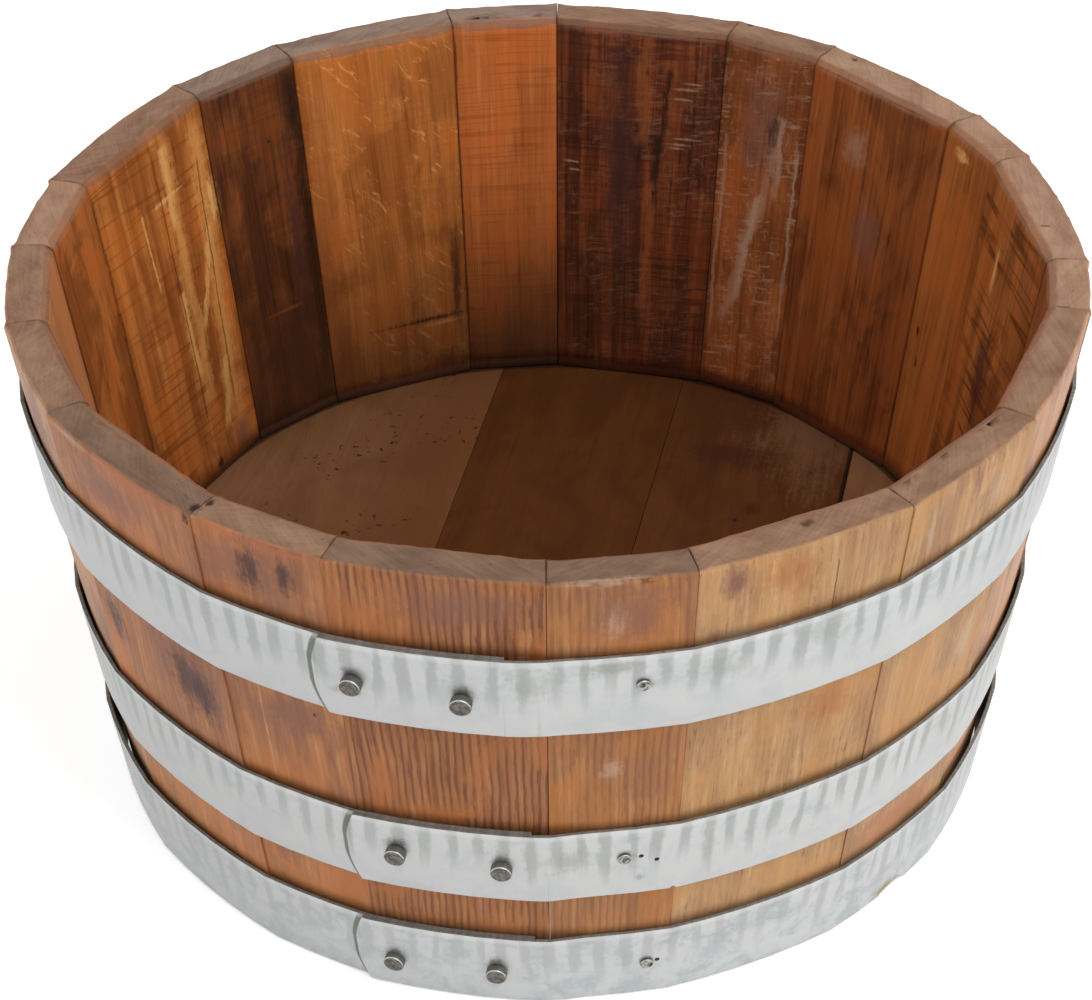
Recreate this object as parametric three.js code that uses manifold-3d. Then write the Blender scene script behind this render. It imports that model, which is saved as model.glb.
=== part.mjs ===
// Wooden barrel planter: the lower half of a small oak cask, sawn across at its widest point and
// stood on its head end. Staves of uneven width stand in a ring round a boarded floor, which sits
// in a groove (the croze) cut round their inside. Three lapped and riveted steel hoops bind them.
//
// Millimetres, +Z up. The origin is on the ground in the middle of the base, and the front is -Y.
// An azimuth is 0 at the front and grows towards +X.

import * as THREE from 'three';
import { mergeVertices } from 'three/addons/utils/BufferGeometryUtils.js';
import Module from 'manifold-3d';

const wasm = await Module();
wasm.setup();

// ---- Driving dimensions --------------------------------------------------------------------

// The tub as a whole
const RIM_DIAMETER = 460; // outside of the sawn rim, at the stave seams
const BASE_DIAMETER = 388.6; // outside of the stave ends that it stands on
const HEIGHT = 245;
const SWELL = 0.3; // how far the wall bows out of a straight cone, half way up
const WALL = 18; // thickness of a stave at its edges
const CLEARANCE = 0.3; // between two pieces that touch
const FACET_DEG = 5; // longest step of a rounded face

// Staves, anticlockwise from the front seam: width at the rim, how far it stands proud, and tone
const STAVES = [
  [57.7, 0.3, 'brown'], [93.2, -0.2, 'tan'], [79.2, 0.4, 'tan'], [85.2, -0.3, 'tan'],
  [40, 0.2, 'brown'], [90, 0, 'red'], [41, 0.5, 'golden'], [90, -0.4, 'brown'],
  [51, 0.2, 'brown'], [89.5, -0.1, 'dark'], [54, 0.4, 'golden'], [88, -0.3, 'golden'],
  [59, 0.1, 'dark'], [97.5, 0.3, 'golden'], [56, -0.5, 'red'], [63, 0.2, 'red'],
  [69.5, 0, 'brown'], [94, 0.4, 'tan'], [59, -0.4, 'red'], [86.7, 0.1, 'brown'],
];
const FRONT_SEAM_DEG = -1.2; // azimuth of the front seam, a little left of the middle
const OUTER_ROUNDING = 0.68; // a stave's outer face: 0 is a flat board, 1 is the full circle
const RIM_OUTER_EASE = 1.6; // chamfer on the rim's outer edge
const RIM_INNER_EASE = 3.5; // width of the worn inner edge of the rim
const RIM_INNER_DROP = 2.2; // and how far it drops
const BASE_EASE = 1.2; // chamfer at the foot of the outer face
const CHIME_BEVEL_WIDTH = 8; // bevel inside the foot of a stave
const CHIME_BEVEL_HEIGHT = 13;

// Floor
const FLOOR_TOP = 65; // height of the floor above the ground
const FLOOR_THICKNESS = 18;
const TONGUE_THICKNESS = 7; // edge of the floor, in the croze
const EDGE_DROP = 0.8; // how far the floor's upper face slopes down towards that edge
const UNDER_BEVEL = 17; // width of the bevel under that edge
const CROZE_DEPTH = 5;
const BOARD_WIDTHS = [132, 90, 90, 69]; // from the left
const BOARD_TURN_DEG = 12.5; // the boards run this far to the right of straight back
const DOWEL_DIAMETER = 10;
const DOWEL_LENGTH = 40;

// Hoops
const HOOP_THICKNESS = 1.6;
const LAP_LENGTH = 76;
const LAP_RAMP = 24; // length over which the upper layer comes down behind the lap
const LAP_BOW = 4.7; // how far the lap's rounded end reaches past its corners
const LAP_TIP = 0.3; // height of that end at its very tip, as a share of the hoop's width
const RIVET_SHANK_DIAMETER = 5;
const RIVET_HEAD_DIAMETER = 8.8;
const RIVET_HEAD_ROUNDING = 0.9;
const NAIL_SHANK_DIAMETER = 2.6;
const NAIL_HEAD_DIAMETER = 5.6;
const NAIL_HEAD_THICKNESS = 1.1;
const NAIL_LENGTH = 15;
const PILOT_HOLE_DIAMETER = 2.2;

const BILGE_HOOP_WIDTH = 41.1;
const BILGE_HOOP_DROP = 39.4; // from the rim to the hoop's upper edge
const QUARTER_HOOP_WIDTH = 39.4;
const QUARTER_HOOP_FOOT = 66.2; // from the ground to the hoop's lower edge
const HEAD_HOOP_WIDTH = 39.2;
const HEAD_HOOP_FOOT = 0.8;

// Slack is how far the dried-out tub leaves a hoop standing off at its two sides. Fittings are
// placed up the hoop's width by a share of it. A rivet is [share of the lap's length, share up,
// height of its head], a nail is [stave, share of the stave's width, share up], a pilot hole is
// [azimuth in degrees, share up], and a nick in the lower edge is [azimuth, half length, rise].
const HOOPS = [
  {
    name: 'bilge_hoop',
    foot: HEIGHT - BILGE_HOOP_DROP - BILGE_HOOP_WIDTH,
    width: BILGE_HOOP_WIDTH,
    slack: 0,
    lapDeg: -25,
    rivets: [[0.225, 0.5, 4.3], [0.785, 0.45, 4.7]],
    nails: [[0, 0.655, 0.62], [7, 0.5, 0.49], [13, 0.4, 0.58]],
    pilotHoles: [],
    nicks: [],
  },
  {
    name: 'quarter_hoop',
    foot: QUARTER_HOOP_FOOT,
    width: QUARTER_HOOP_WIDTH,
    slack: 0.3,
    lapDeg: -24.1,
    rivets: [[0.284, 0.556, 4.4], [0.842, 0.497, 3.2]],
    nails: [[0, 0.576, 0.576], [7, 0.6, 0.46], [13, 0.5, 0.51]],
    pilotHoles: [[9, 0.571], [10.8, 0.49]],
    nicks: [[12.9, 1.2, 1.2]],
  },
  {
    name: 'head_hoop',
    foot: HEAD_HOOP_FOOT,
    width: HEAD_HOOP_WIDTH,
    slack: 2,
    lapDeg: -25,
    rivets: [[0.226, 0.42, 2.2], [0.792, 0.47, 3.4]],
    nails: [[0, 0.803, 0.49], [7, 0.4, 0.485], [13, 0.6, 0.434]],
    pilotHoles: [[11.7, 0.505]],
    nicks: [[47.8, 9, 3]],
  },
];

// ---- Helpers -------------------------------------------------------------------------------

const { degToRad, lerp, smoothstep } = THREE.MathUtils;
const TURN = 2 * Math.PI;
const ROUND_SIDES = 12; // sides of a rivet, nail, dowel or hole
const LAP_END_STEPS = [0, 0.15, 0.4, 0.7, 1]; // where a lap's rounded end has its sections
const LAP_RAMP_STEPS = [0, 0.25, 0.5, 0.75, 1];
const SAME_AZIMUTH = 1e-4; // sections closer than this are one
const SEAT_REACH = RIVET_HEAD_DIAMETER / 4; // a seat's slope is measured this far either side

/** Point at an azimuth, radius and height. */
function polar(azimuth, radius, height) {
  return new THREE.Vector3(radius * Math.sin(azimuth), -radius * Math.cos(azimuth), height);
}

/** Cut list to running positions: [0, w0, w0 + w1, ...] stretched to fill the whole length. */
function runningPositions(widths, whole) {
  const total = widths.reduce((sum, width) => sum + width, 0);
  const positions = [0];
  for (const width of widths) {
    positions.push(positions.at(-1) + (width / total) * whole);
  }
  return positions;
}

/** Closed skin over a row of like outlines, which go anticlockwise seen from the first end. */
function loft(loops, flatOutline) {
  const count = flatOutline.length;
  const last = (loops.length - 1) * count;
  const index = [];
  for (let start = 0; start < last; start += count) {
    for (let i = 0; i < count; i += 1) {
      const here = start + i;
      const next = start + ((i + 1) % count);
      index.push(here, here + count, next + count, here, next + count, next);
    }
  }
  for (const [a, b, c] of THREE.ShapeUtils.triangulateShape(flatOutline, [])) {
    index.push(a, b, c, last + c, last + b, last + a);
  }
  const geometry = new THREE.BufferGeometry();
  const positions = loops.flat().flatMap((point) => point.toArray());
  geometry.setAttribute('position', new THREE.Float32BufferAttribute(positions, 3));
  geometry.setIndex(index);
  return geometry;
}

/** A closed geometry as a solid that can be cut. */
function toSolid(geometry) {
  const bare = geometry.clone();
  bare.deleteAttribute('normal');
  bare.deleteAttribute('uv');
  const merged = mergeVertices(bare);
  const triangles = [];
  const corners = merged.index.array;
  for (let i = 0; i < corners.length; i += 3) {
    const [a, b, c] = corners.slice(i, i + 3);
    if (a !== b && b !== c && c !== a) {
      triangles.push(a, b, c);
    }
  }
  return new wasm.Manifold(new wasm.Mesh({
    numProp: 3,
    vertProperties: new Float32Array(merged.attributes.position.array),
    triVerts: new Uint32Array(triangles),
  }));
}

/** A cut solid as a geometry again. */
function toGeometry(solid) {
  const mesh = solid.getMesh();
  const geometry = new THREE.BufferGeometry();
  geometry.setAttribute('position', new THREE.BufferAttribute(mesh.vertProperties, 3));
  geometry.setIndex(new THREE.BufferAttribute(mesh.triVerts, 1));
  return geometry;
}

/** Turned piece: a profile of [radius, height] from the axis round to the axis, about +Y. */
function turned(profile, sides) {
  return new THREE.LatheGeometry(profile.map(([r, y]) => new THREE.Vector2(r, y)), sides);
}

/** Rod about +Y between two heights. */
function rod(diameter, from, to) {
  const r = diameter / 2;
  return turned([[0, from], [r, from], [r, to], [0, to]], ROUND_SIDES);
}

/** Matrix that stands a turned piece on a seat, with its axis along the seat's normal. */
function seatMatrix(seat) {
  const turn = new THREE.Quaternion().setFromUnitVectors(new THREE.Vector3(0, 1, 0), seat.normal);
  return new THREE.Matrix4().compose(seat.point, turn, new THREE.Vector3(1, 1, 1));
}

// ---- Materials -----------------------------------------------------------------------------

const TONES = { tan: 0xb98253, golden: 0xa9662c, brown: 0x9a5c34, red: 0x87452a, dark: 0x4a2b1c };
const FLOOR_COLOR = 0x6b4a33;
const DOWEL_COLOR = 0xc09a6b;

const oak = (color) => new THREE.MeshStandardMaterial({ color, roughness: 0.55, metalness: 0 });
const galvanised = () => (
  new THREE.MeshStandardMaterial({ color: 0xc3c9ca, roughness: 0.45, metalness: 0.6 })
);
const darkSteel = () => (
  new THREE.MeshStandardMaterial({ color: 0x77746d, roughness: 0.4, metalness: 0.9 })
);

// ---- The wall ------------------------------------------------------------------------------

/** Outer radius of the tub at its seams, at a height. */
function outerRadius(height) {
  const share = height / HEIGHT;
  return lerp(BASE_DIAMETER, RIM_DIAMETER, share) / 2 + 4 * SWELL * share * (1 - share);
}

const seams = runningPositions(STAVES.map(([width]) => width), TURN)
  .map((azimuth) => azimuth + degToRad(FRONT_SEAM_DEG));
const staves = STAVES.map(([, proud, tone], i) => {
  const [from, to] = [seams[i], seams[i + 1]];
  const steps = Math.max(2, Math.ceil((to - from) / degToRad(FACET_DEG)));
  const shares = Array.from({ length: steps + 1 }, (_, k) => k / steps);
  return { from, to, proud, tone, shares };
});
const PROUDEST = Math.max(...staves.map((stave) => stave.proud));
const SHYEST = Math.min(...staves.map((stave) => stave.proud));
const WIDEST_ANGLE = Math.max(...staves.map((stave) => stave.to - stave.from));

/** Point across a stave, on its chord or rounded towards the circle. */
function acrossStave(stave, share, radius, height, rounding, jointGap) {
  const inset = jointGap / 2 / radius;
  const [from, to] = [stave.from + inset, stave.to - inset];
  const onChord = polar(from, radius, height).lerp(polar(to, radius, height), share);
  return onChord.lerp(polar(lerp(from, to, share), radius, height), rounding);
}

// The croze runs true round the tub, while the staves' faces beside it are flat boards.
const CROZE_TOP = FLOOR_TOP + CLEARANCE;
const CROZE_FOOT = FLOOR_TOP - TONGUE_THICKNESS - CLEARANCE;
const crozeRadius = outerRadius(FLOOR_TOP) - WALL + CROZE_DEPTH;

/** Long section of a stave, from the foot up its outer face and down its inner face. */
function staveSection(proud) {
  const outer = (height, inset = 0) => ({
    radius: outerRadius(height) + proud - inset, height, rounding: OUTER_ROUNDING,
  });
  const inner = (height, inset = 0) => ({
    radius: outerRadius(height) + proud - WALL + inset, height, rounding: 0,
  });
  const groove = (height) => ({ radius: crozeRadius, height, rounding: 1 });
  const upInside = (share) => lerp(CROZE_TOP, HEIGHT, share);
  return [
    outer(0, BASE_EASE),
    outer(BASE_EASE),
    outer(HEIGHT / 4),
    outer(HEIGHT / 2),
    outer((HEIGHT * 3) / 4),
    outer(HEIGHT - RIM_OUTER_EASE),
    outer(HEIGHT, RIM_OUTER_EASE),
    inner(HEIGHT, RIM_INNER_EASE),
    inner(HEIGHT - RIM_INNER_DROP),
    inner(upInside(2 / 3)),
    inner(upInside(1 / 3)),
    inner(CROZE_TOP),
    groove(CROZE_TOP),
    groove(CROZE_FOOT),
    inner(CROZE_FOOT),
    inner(CHIME_BEVEL_HEIGHT),
    inner(0, CHIME_BEVEL_WIDTH),
  ];
}

/** One stave, without its nail holes. */
function staveGeometry(stave) {
  const section = staveSection(stave.proud);
  const loops = stave.shares.map((share) => section.map(
    ({ radius, height, rounding }) => (
      acrossStave(stave, share, radius, height, rounding, CLEARANCE)
    ),
  ));
  return loft(loops, section.map(({ radius, height }) => new THREE.Vector2(radius, height)));
}

// ---- Hoops ---------------------------------------------------------------------------------

const LAYER_LIFT = HOOP_THICKNESS + CLEARANCE;

/** Where a lap starts and stops, and where its upper layer is down on the wood again. */
function lapSpan(hoop) {
  const radius = outerRadius(hoop.foot + hoop.width / 2);
  const start = degToRad(hoop.lapDeg);
  const stop = start + LAP_LENGTH / radius;
  const rampStart = stop + CLEARANCE / radius;
  return { start, stop, rampStart, rampStop: rampStart + LAP_RAMP / radius, radius, slack: hoop.slack };
}

/** Height of the strip's inner face above the true wall, along the strip from its upper end. */
function standoff(lap, azimuth) {
  const loose = lap.slack * Math.sin(azimuth) ** 4;
  const lift = LAYER_LIFT * (1 - smoothstep(azimuth, lap.rampStart, lap.rampStop));
  return PROUDEST + CLEARANCE + loose + lift;
}

/** Point of the faceted wall at an azimuth and height, moved out by a distance. */
function bandPoint(azimuth, height, outwards) {
  const wrapped = seams[0] + THREE.MathUtils.euclideanModulo(azimuth - seams[0], TURN);
  const stave = staves.find(({ to }) => wrapped < to) ?? staves.at(-1);
  const share = (wrapped - stave.from) / (stave.to - stave.from);
  return acrossStave(stave, share, outerRadius(height) + outwards, height, OUTER_ROUNDING, 0);
}

/** Share of its width that the strip has at a distance from its rounded end. */
function widthShare(distance) {
  return Math.sqrt(lerp(LAP_TIP ** 2, 1, Math.min(distance / LAP_BOW, 1)));
}

/** Azimuths of the strip's sections, from its upper end round to the end under the lap. */
function hoopStations(lap) {
  const onStaves = staves.flatMap(({ from, to, shares }) => (
    shares.slice(0, -1).map((share) => lerp(from, to, share))
  ));
  const atEnd = LAP_END_STEPS.map((share) => lap.start + (share * LAP_BOW) / lap.radius);
  const onRamp = LAP_RAMP_STEPS.map((share) => lerp(lap.rampStart, lap.rampStop, share));
  const firstTurn = [...onStaves, ...atEnd, lap.stop, ...onRamp]
    .map((azimuth) => lap.start + THREE.MathUtils.euclideanModulo(azimuth - lap.start, TURN))
    .sort((a, b) => a - b)
    .filter((azimuth, i, all) => i === 0 || azimuth - all[i - 1] > SAME_AZIMUTH);
  const underLap = firstTurn.filter((azimuth) => azimuth <= lap.stop + SAME_AZIMUTH);
  return [...firstTurn, ...underLap.map((azimuth) => azimuth + TURN)];
}

/** The bent strip of one hoop, without its holes. */
function hoopStrip(hoop) {
  const lap = lapSpan(hoop);
  const middle = hoop.foot + hoop.width / 2;
  const loops = hoopStations(lap).map((azimuth) => {
    const halfHeight = (hoop.width / 2) * widthShare((azimuth - lap.start) * lap.radius);
    const [low, high] = [middle - halfHeight, middle + halfHeight];
    const inside = standoff(lap, azimuth);
    const outside = inside + HOOP_THICKNESS;
    return [
      bandPoint(azimuth, low, outside),
      bandPoint(azimuth, high, outside),
      bandPoint(azimuth, high, inside),
      bandPoint(azimuth, low, inside),
    ];
  });
  const section = [[1, 0], [1, 1], [0, 1], [0, 0]].map(([x, y]) => new THREE.Vector2(x, y));
  return loft(loops, section);
}

/** Seat on the hoop's outer face, at a share of its width: the point and the way it faces. */
function seatOn(hoop, azimuth, shareUp) {
  const lap = lapSpan(hoop);
  const at = (a, z) => bandPoint(a, z, standoff(lap, a) + HOOP_THICKNESS);
  const level = hoop.foot + shareUp * hoop.width;
  const reachAngle = SEAT_REACH / lap.radius;
  const along = at(azimuth + reachAngle, level).sub(at(azimuth - reachAngle, level));
  const upwards = at(azimuth, level + SEAT_REACH).sub(at(azimuth, level - SEAT_REACH));
  return { point: at(azimuth, level), normal: along.cross(upwards).normalize() };
}

/** Rivet about +Y: shank through both layers, and a flat hammered head. */
function rivetGeometry(headHeight) {
  const [shank, head] = [RIVET_SHANK_DIAMETER / 2, RIVET_HEAD_DIAMETER / 2];
  const edge = Math.min(RIVET_HEAD_ROUNDING, headHeight / 2);
  return turned([
    [0, -HOOP_THICKNESS - LAYER_LIFT],
    [shank, -HOOP_THICKNESS - LAYER_LIFT],
    [shank, CLEARANCE],
    [head, CLEARANCE],
    [head, headHeight - edge],
    [head - edge / 3, headHeight - edge / 3],
    [head - edge, headHeight],
    [0, headHeight],
  ], ROUND_SIDES);
}

/** Nail about +Y: pointed shank through one layer into the stave, and a flat head. */
function nailGeometry() {
  const [shank, head] = [NAIL_SHANK_DIAMETER / 2, NAIL_HEAD_DIAMETER / 2];
  return turned([
    [0, -NAIL_LENGTH],
    [shank, -NAIL_LENGTH + NAIL_SHANK_DIAMETER],
    [shank, CLEARANCE],
    [head, CLEARANCE],
    [head, NAIL_HEAD_THICKNESS],
    [0, NAIL_HEAD_THICKNESS + CLEARANCE],
  ], ROUND_SIDES);
}

/** Cutter for a hole at a seat, from above the hoop's face down to a depth. */
function drill(seat, diameter, depth) {
  const geometry = rod(diameter, -depth, RIVET_HEAD_DIAMETER).applyMatrix4(seatMatrix(seat));
  return toSolid(geometry);
}

/** Cutter for a shallow oval bite out of the hoop's lower edge. */
function nickCutter(hoop, [azimuthDeg, halfLength, rise]) {
  const reach = RIVET_HEAD_DIAMETER;
  const oval = rod(2 * halfLength, -reach, reach).scale(1, 1, rise / halfLength);
  const seat = seatOn(hoop, degToRad(azimuthDeg), 0);
  const standing = new THREE.Matrix4().makeBasis(
    new THREE.Vector3(-seat.normal.y, seat.normal.x, 0).normalize(),
    new THREE.Vector3(seat.normal.x, seat.normal.y, 0).normalize(),
    new THREE.Vector3(0, 0, 1),
  );
  // The basis above is left-handed about the seat, so the oval is mirrored to keep facing out.
  return toSolid(oval.scale(-1, 1, 1).applyMatrix4(standing.setPosition(seat.point)));
}

// ---- Assembly ------------------------------------------------------------------------------

const planter = new THREE.Group();

/** Adds a named piece to a group. */
function add(group, name, geometry, material) {
  const mesh = new THREE.Mesh(geometry, material);
  mesh.name = name;
  group.add(mesh);
  return mesh;
}

/** Adds a turned fastener on its seat. */
function addOnSeat(name, geometry, material, seat) {
  add(planter, name, geometry, material).applyMatrix4(seatMatrix(seat));
}

const nailSeats = HOOPS.flatMap((hoop) => hoop.nails.map(([stave, shareAcross, shareUp]) => {
  const azimuth = lerp(staves[stave].from, staves[stave].to, shareAcross);
  return { hoop, stave, seat: seatOn(hoop, azimuth, shareUp) };
}));

/** Ring of staves, each drilled for the nails that are driven into it. */
function addStaves() {
  staves.forEach((stave, i) => {
    const holes = nailSeats.filter((nail) => nail.stave === i).map(({ seat }) => (
      drill(seat, NAIL_SHANK_DIAMETER + 2 * CLEARANCE, NAIL_LENGTH + CLEARANCE)
    ));
    const geometry = staveGeometry(stave);
    const drilled = holes.length > 0
      ? toGeometry(holes.reduce((solid, hole) => solid.subtract(hole), toSolid(geometry)))
      : geometry;
    const number = String(i + 1).padStart(2, '0');
    add(planter, `stave_${number}`, drilled, oak(TONES[stave.tone]));
  });
}

/** Floor: boards doweled edge to edge, with a round outline that runs in the croze. */
function addFloor() {
  const floor = new THREE.Group();
  floor.rotation.z = -degToRad(BOARD_TURN_DEG);
  planter.add(floor);

  // A faceted croze bulges inwards between its corners, and the flat staves reach further in.
  const halfFacet = degToRad(FACET_DEG) / 2;
  const radius = crozeRadius * Math.cos(halfFacet) - CLEARANCE;
  const nearestFace = (outerRadius(CROZE_FOOT) + SHYEST - WALL) * Math.cos(WIDEST_ANGLE / 2);
  const tongueStart = nearestFace - CLEARANCE;
  const underside = FLOOR_TOP - FLOOR_THICKNESS;
  const disc = toSolid(turned([
    [0, underside],
    [tongueStart - UNDER_BEVEL, underside],
    [tongueStart, FLOOR_TOP - TONGUE_THICKNESS],
    [radius, FLOOR_TOP - TONGUE_THICKNESS],
    [radius, FLOOR_TOP - EDGE_DROP],
    [tongueStart, FLOOR_TOP],
    [0, FLOOR_TOP],
  ], Math.ceil(360 / FACET_DEG)).rotateX(Math.PI / 2));

  const edges = runningPositions(BOARD_WIDTHS, 2 * radius).map((x) => x - radius);
  const dowelLevel = FLOOR_TOP - FLOOR_THICKNESS / 2;
  const dowels = edges.slice(1, -1).flatMap((x) => {
    const halfSeam = Math.sqrt(tongueStart ** 2 - x ** 2);
    return [-halfSeam / 2, halfSeam / 2].map((y) => new THREE.Vector3(x, y, dowelLevel));
  });
  const dowelRod = (diameter, length) => (
    rod(diameter, -length / 2, length / 2).rotateZ(Math.PI / 2)
  );

  BOARD_WIDTHS.forEach((_, i) => {
    const [left, right] = [edges[i] + CLEARANCE / 2, edges[i + 1] - CLEARANCE / 2];
    const strip = new THREE.BoxGeometry(right - left, RIM_DIAMETER, 2 * HEIGHT);
    let board = disc.intersect(toSolid(strip.translate((left + right) / 2, 0, 0)));
    for (const { x, y, z } of dowels) {
      const hole = dowelRod(DOWEL_DIAMETER + 2 * CLEARANCE, DOWEL_LENGTH + 2 * CLEARANCE);
      board = board.subtract(toSolid(hole.translate(x, y, z)));
    }
    add(floor, `floor_board_${i + 1}`, toGeometry(board), oak(FLOOR_COLOR));
  });
  dowels.forEach((middle, i) => {
    const geometry = dowelRod(DOWEL_DIAMETER, DOWEL_LENGTH);
    add(floor, `floor_dowel_${i + 1}`, geometry, oak(DOWEL_COLOR)).position.copy(middle);
  });
}

/** One hoop with its rivets and nails. */
function addHoop(hoop) {
  const lap = lapSpan(hoop);
  const rivets = hoop.rivets.map(([shareAlong, shareUp, headHeight]) => (
    { headHeight, seat: seatOn(hoop, lerp(lap.start, lap.stop, shareAlong), shareUp) }
  ));
  const nails = nailSeats.filter((nail) => nail.hoop === hoop);
  const throughBoth = 2 * LAYER_LIFT + CLEARANCE;
  const cutters = [
    ...rivets.map(({ seat }) => drill(seat, RIVET_SHANK_DIAMETER + 2 * CLEARANCE, throughBoth)),
    ...nails.map(({ seat }) => drill(seat, NAIL_SHANK_DIAMETER + 2 * CLEARANCE, throughBoth)),
    ...hoop.pilotHoles.map(([azimuthDeg, shareUp]) => (
      drill(seatOn(hoop, degToRad(azimuthDeg), shareUp), PILOT_HOLE_DIAMETER, throughBoth)
    )),
    ...hoop.nicks.map((nick) => nickCutter(hoop, nick)),
  ];
  const strip = cutters.reduce((solid, cutter) => solid.subtract(cutter), toSolid(hoopStrip(hoop)));
  add(planter, hoop.name, toGeometry(strip), galvanised());
  rivets.forEach(({ headHeight, seat }, i) => {
    addOnSeat(`${hoop.name}_rivet_${i + 1}`, rivetGeometry(headHeight), darkSteel(), seat);
  });
  nails.forEach(({ seat }, i) => {
    addOnSeat(`${hoop.name}_nail_${i + 1}`, nailGeometry(), darkSteel(), seat);
  });
}

addStaves();
addFloor();
HOOPS.forEach(addHoop);

export default planter;
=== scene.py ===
"""Looks of a wooden barrel planter: twenty oak staves, a boarded floor and three riveted hoops.

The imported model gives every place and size. The pieces that show are modelled over it, with eased
edges, hammered heads and cracked seams, and finished in oiled oak, zinc and steel. Lengths are in
metres. The front of the tub is -Y, and an azimuth is 0 there and grows towards +X.
"""

import logging
import math
from contextlib import contextmanager
from dataclasses import dataclass, replace
from enum import Enum
from typing import Callable, Dict, Iterator, List, Sequence, Tuple, Union

import bmesh
import bpy
import numpy as np
from mathutils import Matrix, Vector


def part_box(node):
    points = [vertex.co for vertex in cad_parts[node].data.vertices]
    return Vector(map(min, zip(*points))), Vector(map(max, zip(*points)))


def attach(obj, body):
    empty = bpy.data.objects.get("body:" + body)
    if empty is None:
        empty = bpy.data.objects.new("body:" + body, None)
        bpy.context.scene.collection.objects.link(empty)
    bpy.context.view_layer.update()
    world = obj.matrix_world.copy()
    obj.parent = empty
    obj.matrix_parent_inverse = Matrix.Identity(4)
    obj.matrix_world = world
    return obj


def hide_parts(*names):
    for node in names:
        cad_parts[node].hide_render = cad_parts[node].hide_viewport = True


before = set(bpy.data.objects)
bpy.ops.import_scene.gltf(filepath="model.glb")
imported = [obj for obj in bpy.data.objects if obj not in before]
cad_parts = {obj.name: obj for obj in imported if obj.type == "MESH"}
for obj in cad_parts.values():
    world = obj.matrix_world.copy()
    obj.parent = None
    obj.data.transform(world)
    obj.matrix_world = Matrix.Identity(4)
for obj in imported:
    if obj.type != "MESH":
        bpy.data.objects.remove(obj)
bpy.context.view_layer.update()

BODY = "root"
MM = 0.001
STAVE_THICKNESS = 18 * MM
HOOP_NAMES = ("bilge_hoop", "quarter_hoop", "head_hoop")
FASTENERS = {"rivet": 2, "nail": 3}  # how many hold each hoop
SMOOTH_WOOD, SMOOTH_STEEL = 35, 40  # degrees between faces that are shaded smooth
SQUARE = 60  # degrees: an edge that turns by more is square
LONG_EDGE = 30 * MM

Colour = Tuple[float, float, float]
Piece = bpy.types.Object
log = logging.getLogger("barrel planter")


# ---- Sizes read from the imported model --------------------------------------------------------


@dataclass(frozen=True)
class Tub:
    """Overall sizes of the tub, measured on its staves and hoops."""

    rim_radius: float
    base_radius: float
    height: float
    wall: float
    floor_top: float
    hoop_tops: Tuple[float, ...]

    @classmethod
    def measure(cls) -> "Tub":
        """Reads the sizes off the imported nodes."""
        corners = [v.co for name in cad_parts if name.startswith("stave_")
                   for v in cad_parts[name].data.vertices]
        height = max(corner.z for corner in corners)
        foot = [corner.xy.length for corner in corners if corner.z < MM]
        shoulder = [corner.xy.length for corner in corners if height - 3 * MM < corner.z]
        return cls(
            rim_radius=max(shoulder),
            base_radius=max(foot),
            height=height,
            wall=STAVE_THICKNESS,
            floor_top=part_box("floor_board_2")[1].z,
            hoop_tops=tuple(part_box(name)[1].z for name in HOOP_NAMES),
        )


TUB = Tub.measure()


def azimuth_of(point: Vector) -> float:
    """Azimuth of a point about the tub's middle."""
    return math.atan2(point.x, -point.y)


# ---- The bench: modelling steps ----------------------------------------------------------------


def take(piece: Piece) -> None:
    """Makes a piece the active one, and the only one selected."""
    bpy.ops.object.select_all(action="DESELECT")
    piece.select_set(True)
    bpy.context.view_layer.objects.active = piece


@contextmanager
def editing(piece: Piece) -> Iterator[None]:
    """Edit mode on a piece, with nothing selected at the start."""
    take(piece)
    bpy.ops.object.mode_set(mode="EDIT")
    bpy.ops.mesh.select_all(action="DESELECT")
    yield
    bpy.ops.object.mode_set(mode="OBJECT")


def pick(piece: Piece, kind: str, test: Callable[[object], bool]) -> None:
    """Selects the edges or faces of a piece in edit mode that pass a test.

    Args:
        piece: the piece being edited.
        kind: EDGE or FACE.
        test: says of one bmesh edge or face whether it is picked.
    """
    bpy.ops.mesh.select_mode(type=kind)
    bpy.ops.mesh.select_all(action="DESELECT")
    shape = bmesh.from_edit_mesh(piece.data)
    for item in shape.edges if kind == "EDGE" else shape.faces:
        item.select = test(item)
    shape.select_flush_mode()
    bmesh.update_edit_mesh(piece.data)


def refine(piece: Piece, kind: str, **settings: object) -> None:
    """Adds a modifier to a piece and applies it.

    Args:
        piece: the piece.
        kind: the kind of modifier.
        settings: its settings.
    """
    take(piece)
    modifier = piece.modifiers.new(kind.title(), kind)
    for name, value in settings.items():
        setattr(modifier, name, value)
    bpy.ops.object.modifier_apply(modifier=modifier.name)


def solid_of(node: str, name: str) -> Piece:
    """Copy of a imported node's solid in whole faces, as the start of a finished piece.

    Args:
        node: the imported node.
        name: the new piece's name.

    Returns:
        The copy, merged and with its flat faces joined.
    """
    piece = bpy.data.objects.new(name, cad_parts[node].data.copy())
    bpy.context.scene.collection.objects.link(piece)
    piece.data.materials.clear()
    with editing(piece):
        bpy.ops.mesh.select_all(action="SELECT")
        bpy.ops.mesh.remove_doubles(threshold=0.002 * MM)
        bpy.ops.mesh.dissolve_limited(angle_limit=math.radians(0.4))
    return piece


def slice_up(piece: Piece, planes: Sequence[Tuple[Vector, Vector]]) -> None:
    """Cuts new edges into a piece.

    Args:
        piece: the piece.
        planes: what it is cut along, each plane as a point and its normal.
    """
    with editing(piece):
        for point, normal in planes:
            bpy.ops.mesh.select_all(action="SELECT")
            bpy.ops.mesh.bisect(plane_co=point, plane_no=normal, threshold=0.001 * MM)


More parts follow.
